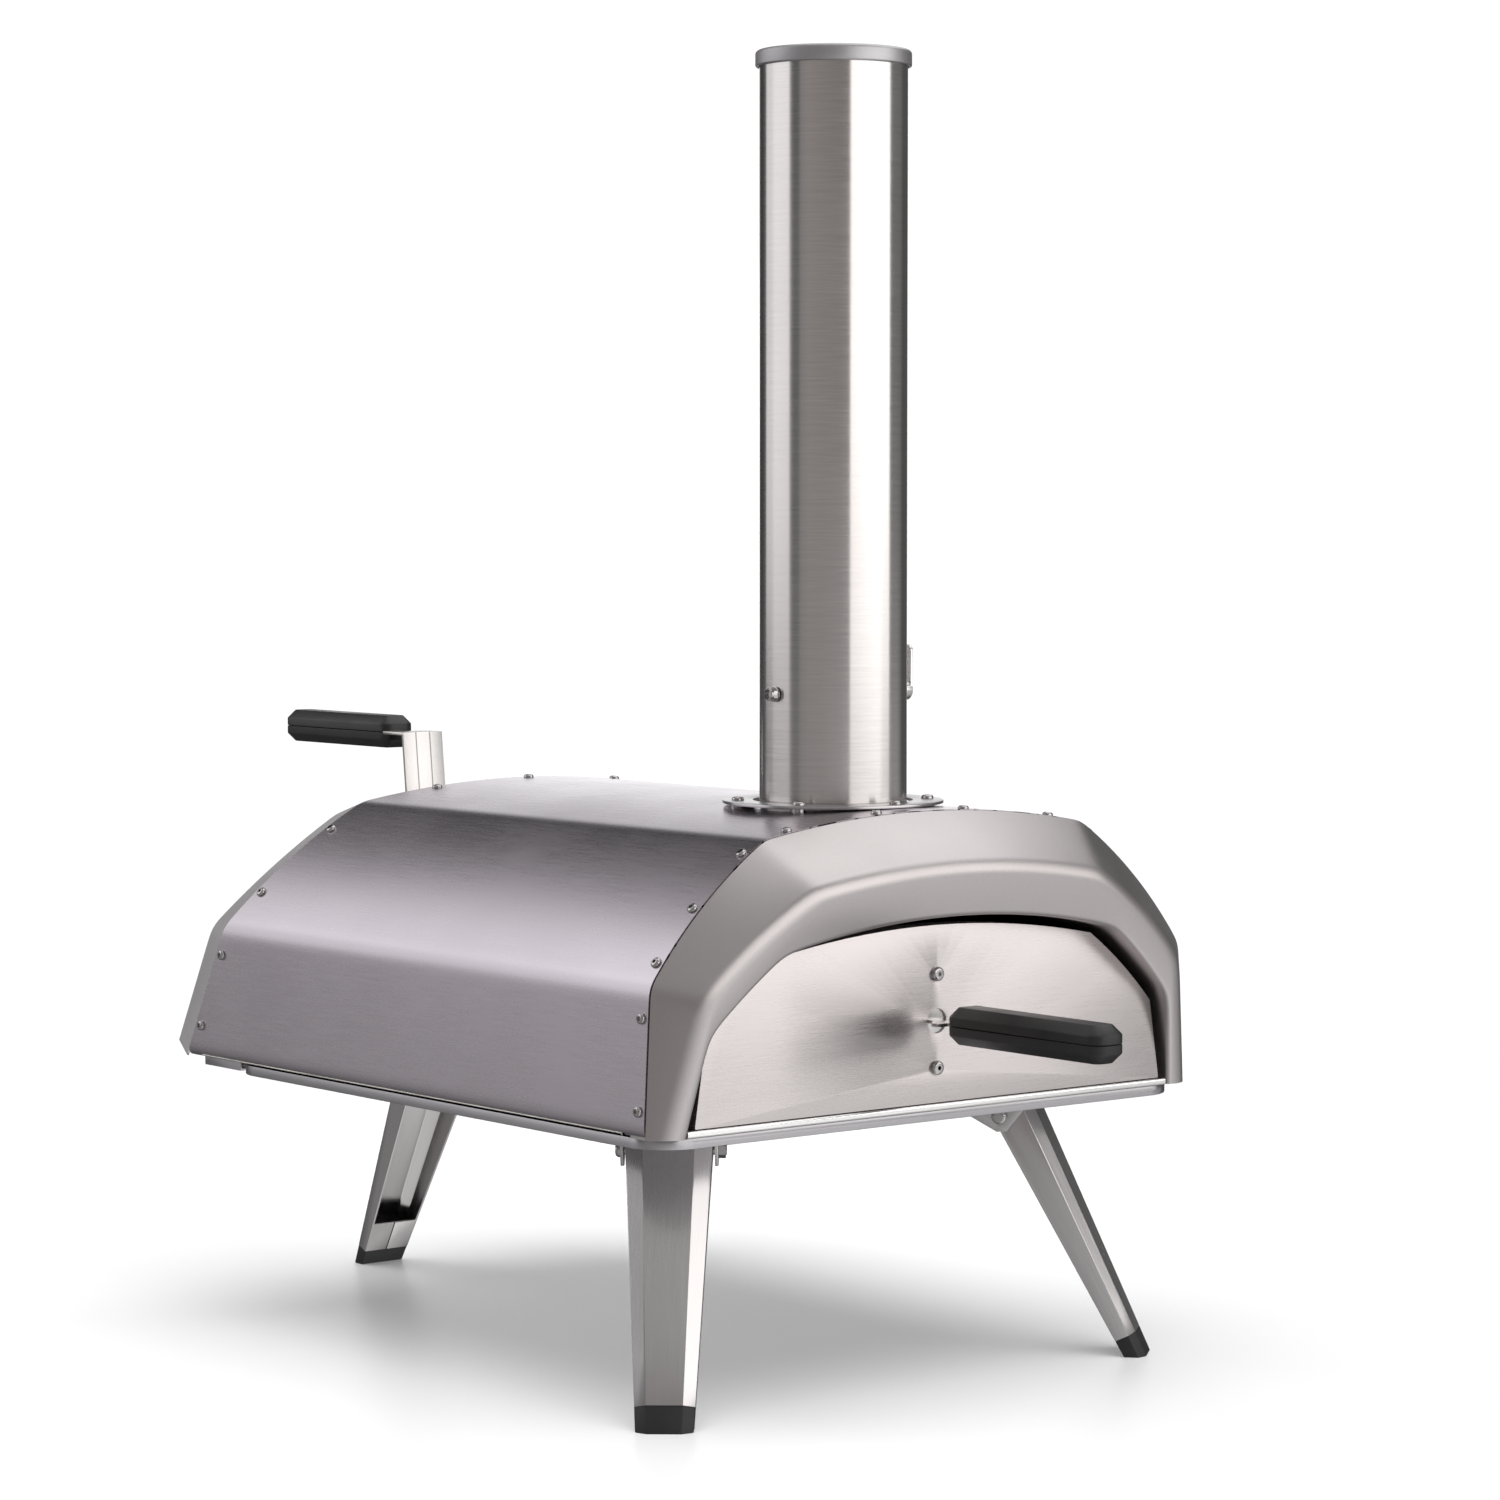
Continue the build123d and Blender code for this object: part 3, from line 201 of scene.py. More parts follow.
sky = bpy.data.lights.new("skylight", "SUN")
sky.energy = SKY_STRENGTH
sky.angle = radians(SKY_SPREAD)
sky_holder = bpy.data.objects.new("skylight", sky)
sky_holder.rotation_euler = (radians(SKY_TILT[0]), radians(SKY_TILT[1]), 0.0)
sky_holder.visible_camera = False
sky_holder.visible_glossy = False
scene.collection.objects.link(sky_holder)

# The floor fades out before its rim, and the steel mirrors the walls instead of it.
FLOOR_RADIUS = 1.9
FLOOR_SIDES = 96
FLOOR_FINISH = {
    "Base Color": (0.80, 0.80, 0.81, 1.0), "Roughness": 0.38, "Specular IOR Level": 0.07,
    "Emission Color": (*WHITE, 1.0), "Emission Strength": 0.14}
FADE_REACH = 2.0
FADE_STOPS = [(0.0, 1.0), (0.55, 1.0), (0.93, 0.0)]

disc = bmesh.new()
bmesh.ops.create_circle(disc, cap_ends=True, segments=FLOOR_SIDES, radius=FLOOR_RADIUS)
floor_mesh = bpy.data.meshes.new("floor")
disc.to_mesh(floor_mesh)
disc.free()
floor = bpy.data.objects.new("floor", floor_mesh)
scene.collection.objects.link(floor)
floor.visible_glossy = False
pale_floor = bpy.data.materials.new("pale floor")
pale_floor.use_nodes = True
floor_nodes = pale_floor.node_tree
floor_shader = floor_nodes.nodes["Principled BSDF"]
for key, value in FLOOR_FINISH.items():
    floor_shader.inputs[key].default_value = value
reach = floor_nodes.nodes.new("ShaderNodeVectorMath")
reach.operation = "LENGTH"
link(floor_nodes, floor_nodes.nodes.new("ShaderNodeTexCoord").outputs["Object"], reach.inputs[0])
reach_share = math_node(floor_nodes, "MULTIPLY", reach.outputs["Value"], 1 / FADE_REACH)
link(floor_nodes, ramp_node(floor_nodes, reach_share, FADE_STOPS, "EASE"), floor_shader.inputs["Alpha"])
floor.data.materials.append(pale_floor)

# ---------------------------------------------------------------------------
# Shell: one brushed stainless sheet folded over the oven and screwed to the bezels,
# with soft bends at the shoulders, a small return under each side and a leaning rear edge.

MID_DEPTH = 254.5
BODY = [(204.0, 165.7), (200.0, 249.0), (119.8, 326.4)]
BODY_CROWN = 337.6
BODY_BOW = 5.5
BODY_SOFT = 10
SHELL_RETURN = (192.0, 165.7)
SHELL_START = 0.9
SHELL_WALL = 0.0012
REAR_DEPTH = 477.0
REAR_LEAN = -0.462
RETURN_STEPS, SIDE_STEPS, SHOULDER_STEPS, TOP_STEPS = 6, 40, 64, 80
SAME_PLACE_DIGITS = 7
SHARP_ANGLE = 32.0


def at(x, y, z):
    """A point in the frame from millimetres, with the depth counted from the front seam."""
    return Vector((x, y - MID_DEPTH, z)) * 0.001


def rear_depth(z, offset=0.0):
    """Depth of the leaning rear edge at a height."""
    return REAR_DEPTH + offset + REAR_LEAN * (z - BODY[0][1])


def straight(a, b, steps):
    """Evenly spaced points from one corner towards the next, which is left out."""
    return [(a[0] + (b[0] - a[0]) * i / steps, a[1] + (b[1] - a[1]) * i / steps) for i in range(steps)]


def section(corners, crown, bow, soft, start=None):
    """Points (x, z) over an arched section from the left foot to the right, bends softened."""
    foot, (x_1, z_1), (x_2, z_2) = corners
    side = straight(start, foot, RETURN_STEPS) if start is not None else []
    side += straight(foot, (x_1, z_1), SIDE_STEPS)
    length = hypot(x_1 - x_2, z_2 - z_1)
    for i in range(SHOULDER_STEPS):
        s = i / SHOULDER_STEPS
        swell = 4 * bow * s * (1 - s)
        side.append((x_1 + (x_2 - x_1) * s + swell * (z_2 - z_1) / length,
                     z_1 + (z_2 - z_1) * s + swell * (x_1 - x_2) / length))
    for i in range(TOP_STEPS + 1):
        x = x_2 * (1 - i / TOP_STEPS)
        side.append((x, crown - (crown - z_2) * (x / x_2) ** 2))
    points = [(-x, z) for x, z in side] + side[-2::-1]
    for _ in range(soft):
        middle = [((a[0] + 2 * b[0] + c[0]) / 4, (a[1] + 2 * b[1] + c[1]) / 4)
                  for a, b, c in zip(points, points[1:], points[2:])]
        points = [points[0], *middle, points[-1]]
    return points


def run_edges(mesh, points, closed=False):
    """Vertices joined in a row or a ring; returns their edges."""
    row = [mesh.verts.new(p) for p in points]
    ends = row[1:] + row[:1] if closed else row[1:]
    return [mesh.edges.new(pair) for pair in zip(row, ends)]


def place_key(place):
    """A place rounded so that equal ones match."""
    return tuple(round(c, SAME_PLACE_DIGITS) for c in place)


def sweep_rows(mesh, rows, closed=False):
    """A sheet drawn out from its first row of points through the next; returns the rows' edges."""
    made = [run_edges(mesh, rows[0], closed)]
    for near, far in zip(rows, rows[1:]):
        places = {place_key(old): new for old, new in zip(near, far)}
        grown = bmesh.ops.extrude_edge_only(mesh, edges=made[-1])["geom"]
        for vert in grown:
            if isinstance(vert, bmesh.types.BMVert):
                vert.co = places[place_key(vert.co)]
        made.append([e for e in grown if isinstance(e, bmesh.types.BMEdge) and len(e.link_faces) == 1
                     and all(v in grown for v in e.verts)])
    return made


def ease(mesh, edges, width, segments):
    """Rounds edges."""
    bmesh.ops.bevel(mesh, geom=edges, offset=width, segments=segments, profile=0.5, affect="EDGES",
                    material=-1, clamp_overlap=True)


def turn_outward(mesh, centre):
    """Recalculates normals of an open sheet so that they point away from a centre."""
    bmesh.ops.recalc_face_normals(mesh, faces=mesh.faces)
    mesh.normal_update()
    votes = sum(face.normal.dot(face.calc_center_median() - centre) * face.calc_area()
                for face in mesh.faces)
    if votes < 0:
        bmesh.ops.reverse_faces(mesh, faces=mesh.faces)


def thicken(made, wall):
    """A live sheet thickness, inwards."""
    sheet = made.modifiers.new("sheet", "SOLIDIFY")
    sheet.thickness = wall
    sheet.offset = -1.0
    sheet.use_even_offset = True
    sheet.use_rim = True


def finish_piece(name, mesh, material, body, nodes=(), crease=SHARP_ANGLE, wall=None):
    """Makes a bmesh into a named piece: smooth but for its sharp edges, finished and riding."""
    mesh.normal_update()
    for face in mesh.faces:
        face.smooth = True
    for edge in mesh.edges:
        edge.smooth = len(edge.link_faces) == 2 and edge.calc_face_angle(0.0) < radians(crease)
    data = bpy.data.meshes.new(name)
    mesh.to_mesh(data)
    mesh.free()
    data.materials.append(material)
    made = bpy.data.objects.new(name, data)
    scene.collection.objects.link(made)
    if wall is not None:
        thicken(made, wall)
    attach(made, body)
    if nodes:
        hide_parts(*nodes)


# The noise scale across the brush lines and along them. Each noise below is given as its
# scale, its detail and, for the fine lines, its roughness.
FINE_LINES = 1500.0
LONG_LINES = 40.0
FINE_NOISE = (1.0, 3.0, 0.65)
WIDE_NOISE = (0.3, 2.0)
WIDE_SHARE = 0.15
SMUDGE_NOISE = (9.0, 2.0)
GREYS = (0.3, 0.7)
STREAK_ROUGHNESS = (-0.02, 0.03)
SMUDGE_ROUGHNESS = (-0.02, 0.02)
RELIEF = 0.0002
# Painted shade along a crease: from the first distance to the second the colour rises from the third share
# to full.
CREASE_SHADE_LINE = (0.0002, 0.0007, 0.35, 1.0)
AXES = {"x": Vector((1.0, 0.0, 0.0)), "y": Vector((0.0, 1.0, 0.0)), "z": Vector((0.0, 0.0, 1.0))}


def vector_math(nodes, operation, a, b, output=0):
    """A Vector Math node whose inputs are tuples or sockets; returns one of its outputs."""
    node = nodes.nodes.new("ShaderNodeVectorMath")
    node.operation = operation
    for socket, value in zip(node.inputs, (a, b)):
        if isinstance(value, (tuple, Vector)):
            socket.default_value = value
        else:
            link(nodes, value, socket)
    return node.outputs[output]


def noise(nodes, place, scale, detail, roughness=0.5):
    """The grey value of a Noise node."""
    node = nodes.nodes.new("ShaderNodeTexNoise")
    for key, number in (("Scale", scale), ("Detail", detail), ("Roughness", roughness)):
        node.inputs[key].default_value = number
    link(nodes, place, node.inputs["Vector"])
    return node.outputs["Fac"]


def tones(nodes, grey, colour, darker, lighter, span=GREYS):
    """A ramp from a darker to a lighter tone of a colour."""
    dark = tuple(c * darker for c in colour)
    light = tuple(min(1.0, c * lighter) for c in colour)
    return ramp_node(nodes, grey, [(span[0], dark), (span[1], light)])


def relief(nodes, shader, height, strength):
    """A very shallow bump from a grey value."""
    bump = nodes.nodes.new("ShaderNodeBump")
    bump.inputs["Strength"].default_value = strength
    bump.inputs["Distance"].default_value = RELIEF
    link(nodes, height, bump.inputs["Height"])
    link(nodes, bump.outputs["Normal"], shader.inputs["Normal"])


def new_finish(name, metallic):
    """A new material; returns it with its nodes, its shader and its Object coordinates."""
    material = bpy.data.materials.new(name)
    material.use_nodes = True
    nodes = material.node_tree
    shader = nodes.nodes["Principled BSDF"]
    shader.inputs["Metallic"].default_value = metallic
    return material, nodes, shader, nodes.nodes.new("ShaderNodeTexCoord").outputs["Object"]


def grain_group():
    """Fine lines left by brushing, from coordinates stretched along them, and faint smudges."""
    group = bpy.data.node_groups.new("brushed grain", "ShaderNodeTree")
    group.interface.new_socket("Vector", in_out="INPUT", socket_type="NodeSocketVector")
    group.interface.new_socket("Lines", in_out="OUTPUT", socket_type="NodeSocketFloat")
    group.interface.new_socket("Smudge", in_out="OUTPUT", socket_type="NodeSocketFloat")
    inside = group.nodes.new("NodeGroupInput").outputs["Vector"]
    out = group.nodes.new("NodeGroupOutput")
    fine = math_node(group, "MULTIPLY", noise(group, inside, *FINE_NOISE), 1.0 - WIDE_SHARE)
    wide = math_node(group, "MULTIPLY", noise(group, inside, *WIDE_NOISE), WIDE_SHARE)
    link(group, math_node(group, "ADD", wide, fine), out.inputs["Lines"])
    place = group.nodes.new("ShaderNodeTexCoord").outputs["Object"]
    link(group, noise(group, place, *SMUDGE_NOISE), out.inputs["Smudge"])
    return group


brushed_grain = grain_group()


def brushed_steel(name, colour, rough, lines, centre=(0.0, 0.0, 0.0), stretch=0.75, depth=0.03,
                  contrast=0.07, crease=None):
    """Stainless steel brushed along an axis or a direction, or in rings about an upright axis; given a
    crease, a thin line of painted shade darkens the colour there.
    """
    material, nodes, shader, place = new_finish(name, 1.0)
    shader.inputs["Anisotropic"].default_value = stretch
    if lines == "ring":
        arm = vector_math(nodes, "SUBTRACT", place, Vector(centre))
        along = vector_math(nodes, "CROSS_PRODUCT", AXES["z"], arm)
        spread = vector_math(nodes, "MULTIPLY", place, (LONG_LINES, LONG_LINES, FINE_LINES))
    else:
        along = AXES[lines] if lines in AXES else Vector(lines).normalized()
        distance = vector_math(nodes, "DOT_PRODUCT", place, along, "Value")
        longer = math_node(nodes, "MULTIPLY", distance, FINE_LINES - LONG_LINES)
        drawn_out = vector_math(nodes, "MULTIPLY", along, longer)
        fine = vector_math(nodes, "MULTIPLY", place, (FINE_LINES, FINE_LINES, FINE_LINES))
        spread = vector_math(nodes, "SUBTRACT", fine, drawn_out)
    grain = nodes.nodes.new("ShaderNodeGroup")
    grain.node_tree = brushed_grain
    link(nodes, spread, grain.inputs["Vector"])
    shade = tones(nodes, grain.outputs["Lines"], colour, 1 - contrast, 1 + contrast)
    # Painted shade: the colour is darkened along a thin line at the crease, standing in for shade in the
    # fold.
    if crease is not None:
        parts = nodes.nodes.new("ShaderNodeSeparateXYZ")
        link(nodes, place, parts.inputs[0])
        across = math_node(nodes, "ABSOLUTE", parts.outputs["X"])
        gap = math_node(nodes, "ABSOLUTE", math_node(nodes, "SUBTRACT", across, crease))
        shade = vector_math(nodes, "MULTIPLY", shade, range_node(nodes, gap, *CREASE_SHADE_LINE))
    link(nodes, shade, shader.inputs["Base Color"])
    streaks = range_node(nodes, grain.outputs["Lines"], *GREYS, *(rough + r for r in STREAK_ROUGHNESS))
    smudge = range_node(nodes, grain.outputs["Smudge"], *GREYS, *SMUDGE_ROUGHNESS)
    link(nodes, math_node(nodes, "ADD", streaks, smudge), shader.inputs["Roughness"])
    relief(nodes, shader, grain.outputs["Lines"], depth)
    facing = nodes.nodes.new("ShaderNodeNewGeometry").outputs["Normal"]
    link(nodes, vector_math(nodes, "CROSS_PRODUCT", along, facing), shader.inputs["Tangent"])
    return material


shell_steel = brushed_steel("brushed shell steel", (0.535, 0.49, 0.53), 0.27, "y", depth=0.008,
                            contrast=0.03)
over = section(BODY, BODY_CROWN, BODY_BOW, BODY_SOFT, SHELL_RETURN)
shell = bmesh.new()
sweep_rows(shell, [[at(x, SHELL_START, z) for x, z in over], [at(x, rear_depth(z), z) for x, z in over]])
turn_outward(shell, at(0, 230, 240))
finish_piece("shell", shell, shell_steel, "oven", ["outer_shell"], wall=SHELL_WALL)

# ---------------------------------------------------------------------------
# Front bezel: a thick steel pressing with a blasted, satin surface, screwed to the shell.
# Its rim sweeps forward from the seam, rolls over a soft crease and turns back into the mouth.

CREASE = [(194.6, 165.7), (178.8, 242.3), (107.1, 298.2)]
CREASE_CROWN = 308.5
CREASE_SOFT = 36
OPENING = [(182.2, 165.7), (172.7, 221.4), (124.3, 264.7)]
OPENING_CROWN = 279.0
OPENING_BOW = 1.5
OPENING_SOFT = 60
INNER_BOW = BODY_BOW * 0.6
BEZEL_FRONT = -10.5
BEZEL_LEAN = -0.165
FLANGE_SHRINK = (0.988, 0.994)
FLANGE_LIFT = 0.6
FLANGE_DEPTHS = (16.0, 0.5)
RIM_DEPTH = -0.2
MOUTH_DEPTH = 21.5
BEZEL_WALL = 0.0015
# Row of the sweep, width and segments of each rounded edge: the crease, the mouth, the seam.
BEZEL_ROUNDS = ((3, 0.0062, 7), (4, 0.0028, 5), (2, 0.0008, 3))
TOOTH_NOISE = (2200.0, 2.0)
CLOUD_NOISE = (14.0, 4.0)
BLAST_TONES = (0.93, 1.06)
BLAST_ROUGHNESS = (-0.03, 0.03)
BLAST_DEPTH = 0.12


def blasted_steel(name, colour, rough):
    """Bead-blasted steel: an even satin skin with a very fine tooth."""
    material, nodes, shader, place = new_finish(name, 1.0)
    tooth = noise(nodes, place, *TOOTH_NOISE)
    cloud = noise(nodes, place, *CLOUD_NOISE)
    link(nodes, tones(nodes, tooth, colour, *BLAST_TONES), shader.inputs["Base Color"])
    link(nodes, range_node(nodes, cloud, *GREYS, *(rough + r for r in BLAST_ROUGHNESS)),
         shader.inputs["Roughness"])
    relief(nodes, shader, tooth, BLAST_DEPTH)
    return material


def front_plane(z):
    """Depth of the bezel's leaning front at a height."""
    return BEZEL_FRONT + BEZEL_LEAN * (z - BODY[0][1])


bezel_steel = blasted_steel("blasted bezel steel", (0.50, 0.47, 0.468), 0.38)
rim = section(BODY, BODY_CROWN, BODY_BOW, BODY_SOFT)
flange = [(x * FLANGE_SHRINK[0], z * FLANGE_SHRINK[1] + FLANGE_LIFT) for x, z in rim]
crease_line = section(CREASE, CREASE_CROWN, INNER_BOW, CREASE_SOFT)
mouth = section(OPENING, OPENING_CROWN, OPENING_BOW, OPENING_SOFT)
bezel = bmesh.new()
bezel_rows = sweep_rows(bezel, [
    *([at(x, depth, z) for x, z in flange] for depth in FLANGE_DEPTHS),
    [at(x, RIM_DEPTH, z) for x, z in rim],
    *([at(x, front_plane(z), z) for x, z in line] for line in (crease_line, mouth)),
    [at(x, MOUTH_DEPTH, z) for x, z in mouth]])
turn_outward(bezel, at(0, 6, 235))
for row, width, segments in BEZEL_ROUNDS:
    ease(bezel, bezel_rows[row], width, segments)
finish_piece("bezel", bezel, bezel_steel, "oven", ["front_bezel"], crease=40,
             wall=BEZEL_WALL)

# ---------------------------------------------------------------------------
# Rear bezel: a folded pan of satin sheet steel that closes the leaning back of the shell.
# It is cut away in the middle for the burner and screwed on along the shell's rear edge.

PAN = [(190.0, 172.0), (186.0, 246.0), (112.0, 317.0)]
PAN_CROWN = 328.0
PAN_SOFT = 14
PAN_RIM_SHRINK = 0.998
PAN_GAP = 0.3
PAN_DEPTH = 36.0
PAN_ROUND = (0.003, 5)
PAN_WALL = 0.0012
GATE_HALF = 56.4
GATE_TOP = 286.6
GATE = [(-GATE_HALF, PAN[0][1]), (-GATE_HALF, GATE_TOP), (GATE_HALF, GATE_TOP), (GATE_HALF, PAN[0][1])]


def along_path(path, share):
    """A point on a path of straight runs at a share of its length."""
    runs = [hypot(b[0] - a[0], b[1] - a[1]) for a, b in zip(path, path[1:])]
    left = share * sum(runs)
    for a, b, run in zip(path, path[1:], runs):
        if left <= run + 1e-6:
            return a[0] + (b[0] - a[0]) * left / run, a[1] + (b[1] - a[1]) * left / run
        left -= run
    return path[-1]


pan_steel = blasted_steel("satin pan steel", (0.68, 0.66, 0.66), 0.52)
pan_fold = section(PAN, PAN_CROWN, INNER_BOW, PAN_SOFT)
gate = [along_path(GATE, i / (len(pan_fold) - 1)) for i in range(len(pan_fold))]
pan = bmesh.new()
pan_rows = sweep_rows(pan, [
    [at(x * PAN_RIM_SHRINK, rear_depth(z, PAN_GAP), z) for x, z in rim],
    *([at(x, rear_depth(z, PAN_DEPTH), z) for x, z in line] for line in (pan_fold, gate))])
turn_outward(pan, at(0, 380, 240))
ease(pan, pan_rows[1], *PAN_ROUND)
finish_piece("rear_pan", pan, pan_steel, "oven", ["rear_bezel"], crease=35, wall=PAN_WALL)

# ---------------------------------------------------------------------------
# Chimney: a rolled and brushed steel tube that slips over a spigot in the shell's top, where
# a round plate is screwed on. The cap is a spun pressing with rounded rims, pushed on the tube.

FLUE_DEPTH = 84.8
FLUE = at(0, FLUE_DEPTH, 0)
TUBE_PROFILE = [(42.4, 338.0), (43.4, 338.0), (43.4, 771.5), (42.4, 771.5), (42.4, 338.0)]
TUBE_STEPS = 144
CAP_PROFILE = [(0.001, 776.2), (45.7, 776.2), (45.7, 766.8), (43.8, 766.8), (43.8, 771.8), (0.001, 771.8)]
CAP_ROUNDS = ((1, 0.0022, 5), (2, 0.0009, 3))
PLATE_PROFILE = [(47.0, 337.8), (65.0, 337.8), (65.0, 339.6), (47.0, 339.6), (47.0, 337.8)]
PLATE_ROUNDS = ((1, 0.0004, 2), (2, 0.0005, 2), (3, 0.0004, 2))
ROUND_STEPS = 96
MERGE_WIDTH = 2e-6


def lathe(profile, steps=ROUND_STEPS, rounds=()):
    """A profile of (radius, height) corners, some rounded, spun about the chimney's axis."""
    mesh = bmesh.new()
    places = [at(r, FLUE_DEPTH, z) for r, z in profile]
    run_edges(mesh, places)
    for index, width, segments in sorted(rounds, reverse=True):
        corner = [v for v in mesh.verts if (v.co - places[index]).length < 1e-6]
        bmesh.ops.bevel(mesh, geom=corner, offset=width, segments=segments, profile=0.5,
                        affect="VERTICES", material=-1, clamp_overlap=True)
    bmesh.ops.spin(mesh, geom=mesh.verts[:] + mesh.edges[:], cent=FLUE, axis=(0.0, 0.0, 1.0),
                   angle=2 * pi, steps=steps, use_merge=True)
    bmesh.ops.remove_doubles(mesh, verts=mesh.verts, dist=MERGE_WIDTH)
    bmesh.ops.recalc_face_normals(mesh, faces=mesh.faces)
    return mesh


flue_steel = brushed_steel("brushed chimney steel", (0.64, 0.61, 0.60), 0.20, "ring", centre=FLUE,
                           stretch=0.8, depth=0.01, contrast=0.06)
cap_steel = blasted_steel("blasted cap steel", (0.44, 0.43, 0.44), 0.46)
plate_steel = brushed_steel("brushed plate steel", (0.55, 0.535, 0.54), 0.30, "y")
finish_piece("chimney_pipe", lathe(TUBE_PROFILE, TUBE_STEPS), flue_steel, "chimney",
             ["chimney_tube"])
finish_piece("cap", lathe(CAP_PROFILE, rounds=CAP_ROUNDS), cap_steel, "cap",
             ["chimney_cap"])
finish_piece("chimney_plate", lathe(PLATE_PROFILE, rounds=PLATE_ROUNDS), plate_steel, "oven",
             ["chimney_flange"])

# ---------------------------------------------------------------------------
# Screws, sill and tray: turned steel screws and spacers, a bright folded steel sill under
# the mouth, and the shallow folded tray that closes the body from below, its edges broken.

COPY_CREASE = 30.0
FASTENER_CREASE = 28.0
FLAT_ANGLE = 0.6


def eased_copy(name, node, material, body, width=0.0, segments=2, crease=COPY_CREASE):
    """A merged copy of a solid with its sharp edges slightly rounded."""
    mesh = bmesh.new()
    mesh.from_mesh(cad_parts[node].data)
    bmesh.ops.remove_doubles(mesh, verts=mesh.verts, dist=MERGE_WIDTH)
    bmesh.ops.dissolve_limit(mesh, angle_limit=radians(FLAT_ANGLE), verts=mesh.verts, edges=mesh.edges)
    if width:
        sharp = [e for e in mesh.edges
                 if len(e.link_faces) == 2 and e.calc_face_angle(0.0) > radians(crease)]
        ease(mesh, sharp, width, segments)
    bmesh.ops.triangulate(mesh, faces=[f for f in mesh.faces if len(f.verts) > 4])
    finish_piece(name, mesh, material, body, [node], crease)


screw_steel = brushed_steel("turned screw steel", (0.46, 0.44, 0.44), 0.18, "y", stretch=0.2, depth=0.02)
lip_steel = brushed_steel("brushed lip steel", (0.86, 0.85, 0.84), 0.20, "x")
tray_steel = brushed_steel("brushed tray steel", (0.50, 0.485, 0.50), 0.32, "y")
for node in ("bezel_screws", "rear_screws", "flange_screws", "flange_spacers", "leg_pins"):
    eased_copy(node + "_set", node, screw_steel, "oven", crease=FASTENER_CREASE)
eased_copy("lip", "front_lip", lip_steel, "oven")
eased_copy("tray", "base_tray", tray_steel, "oven", width=0.0008)

# ---------------------------------------------------------------------------
# Door: a brushed pan of sheet steel over fibre board, with a strap through its round hole
# and two button-head screws that hold the strap's plate.

door_steel = brushed_steel("brushed door steel", (0.585, 0.545, 0.54), 0.27, "x", depth=0.01,
                           contrast=0.03)
strap_steel = brushed_steel("brushed strap steel", (0.64, 0.62, 0.61), 0.25, "z")
eased_copy("door_pan", "door_outer_skin", door_steel, "door", width=0.0007, segments=3)
eased_copy("door_back", "door_inner_skin", door_steel, "door", width=0.0003)
eased_copy("door_strap", "door_bracket", strap_steel, "door", width=0.0003)
for node in ("door_screws", "door_handle_screws"):
    eased_copy(node + "_set", node, screw_steel, "door", crease=FASTENER_CREASE)

# ---------------------------------------------------------------------------
# Handles: two moulded halves of dark plastic each, screwed together over the strap. Every
# edge of the bar is cut, and a fine parting line shows between the halves.

HANDLE_SIZE = (25.0, 126.0, 21.5)
HANDLE_CUT = 5.5
FREE_ROUND, HELD_ROUND = 10.0, 7.0
FREE_STEPS, HELD_STEPS = 8, 3
PARTING = 0.18
# Depth and height of each handle's strap end, and which way the bar points.
GRIPS = {"door": (-29.0, 217.3, -1), "hatch": (538.0, 361.0, 1)}
PIT_NOISE = (1600.0, 2.0)
RUB_NOISE = (45.0, 3.0)
RUB_TONES = (0.8, 1.25)
RUB_SPAN = (0.35, 0.65)
RUB_ROUGHNESS = (-0.05, 0.06)
PIT_DEPTH = 0.25


def moulded_plastic(name, colour, rough):
    """Moulded plastic with a fine spark-eroded texture and faint rubbed patches."""
    material, nodes, shader, place = new_finish(name, 0.0)
    rub = noise(nodes, place, *RUB_NOISE)
    link(nodes, tones(nodes, rub, colour, *RUB_TONES, RUB_SPAN), shader.inputs["Base Color"])
    link(nodes, range_node(nodes, rub, *GREYS, *(rough + r for r in RUB_ROUGHNESS)),
         shader.inputs["Roughness"])
    relief(nodes, shader, noise(nodes, place, *PIT_NOISE), PIT_DEPTH)
    return material


def bar_ring(shrink):
    """The bar's plan from above, rounded most at its free end, drawn in by a width."""
    half, length = HANDLE_SIZE[0] / 2 - shrink, HANDLE_SIZE[1] - shrink
    free, held = FREE_ROUND - shrink, HELD_ROUND - shrink
    corners = ((half - free, length - free, free, 0, FREE_STEPS),
               (free - half, length - free, free, 90, FREE_STEPS),
               (held - half, shrink + held, held, 180, HELD_STEPS),
               (half - held, shrink + held, held, 270, HELD_STEPS))
    return [(x + r * cos(radians(start + 90 * i / steps)), y + r * sin(radians(start + 90 * i / steps)))
            for x, y, r, start, steps in corners for i in range(steps + 1)]


def handle_half(name, node, body, depth, height, ahead, side):
    """Half of the bar above or below its middle plane, with its outer edges cut at 45 degrees."""
    mesh = bmesh.new()
    top = HANDLE_SIZE[2] / 2
    rows = [[at(x, depth + ahead * y, height + side * z) for x, y in bar_ring(shrink)]
            for shrink, z in ((0.0, PARTING), (0.0, top - HANDLE_CUT), (HANDLE_CUT, top))]
    rings = sweep_rows(mesh, rows, closed=True)
    bmesh.ops.contextual_create(mesh, geom=rings[0])
    bmesh.ops.contextual_create(mesh, geom=rings[-1])
    bmesh.ops.recalc_face_normals(mesh, faces=mesh.faces)
    ease(mesh, rings[0], 0.0003, 1)
    ease(mesh, [e for e in rings[1] + rings[2] if e.is_valid], 0.0005, 2)
    finish_piece(name, mesh, handle_plastic, body, [node], COPY_CREASE)


handle_plastic = moulded_plastic("dark handle plastic", (0.009, 0.009, 0.009), 0.42)
for word, side in (("upper", 1), ("lower", -1)):
    for body, (depth, height, ahead) in GRIPS.items():
        handle_half(f"{body}_grip_{word}", f"{body}_handle_{word}", body, depth, height, ahead, side)

# ---------------------------------------------------------------------------
# Burner: a folded sheet steel box with a lid, whose creased strap is riveted on and leans up
# to the handle, and a drawer with a slotted grate that slides in from behind.

# Distance of the strap's crease from the middle, where its colour is darkened with painted shade.
STRAP_CREASE = 0.0055

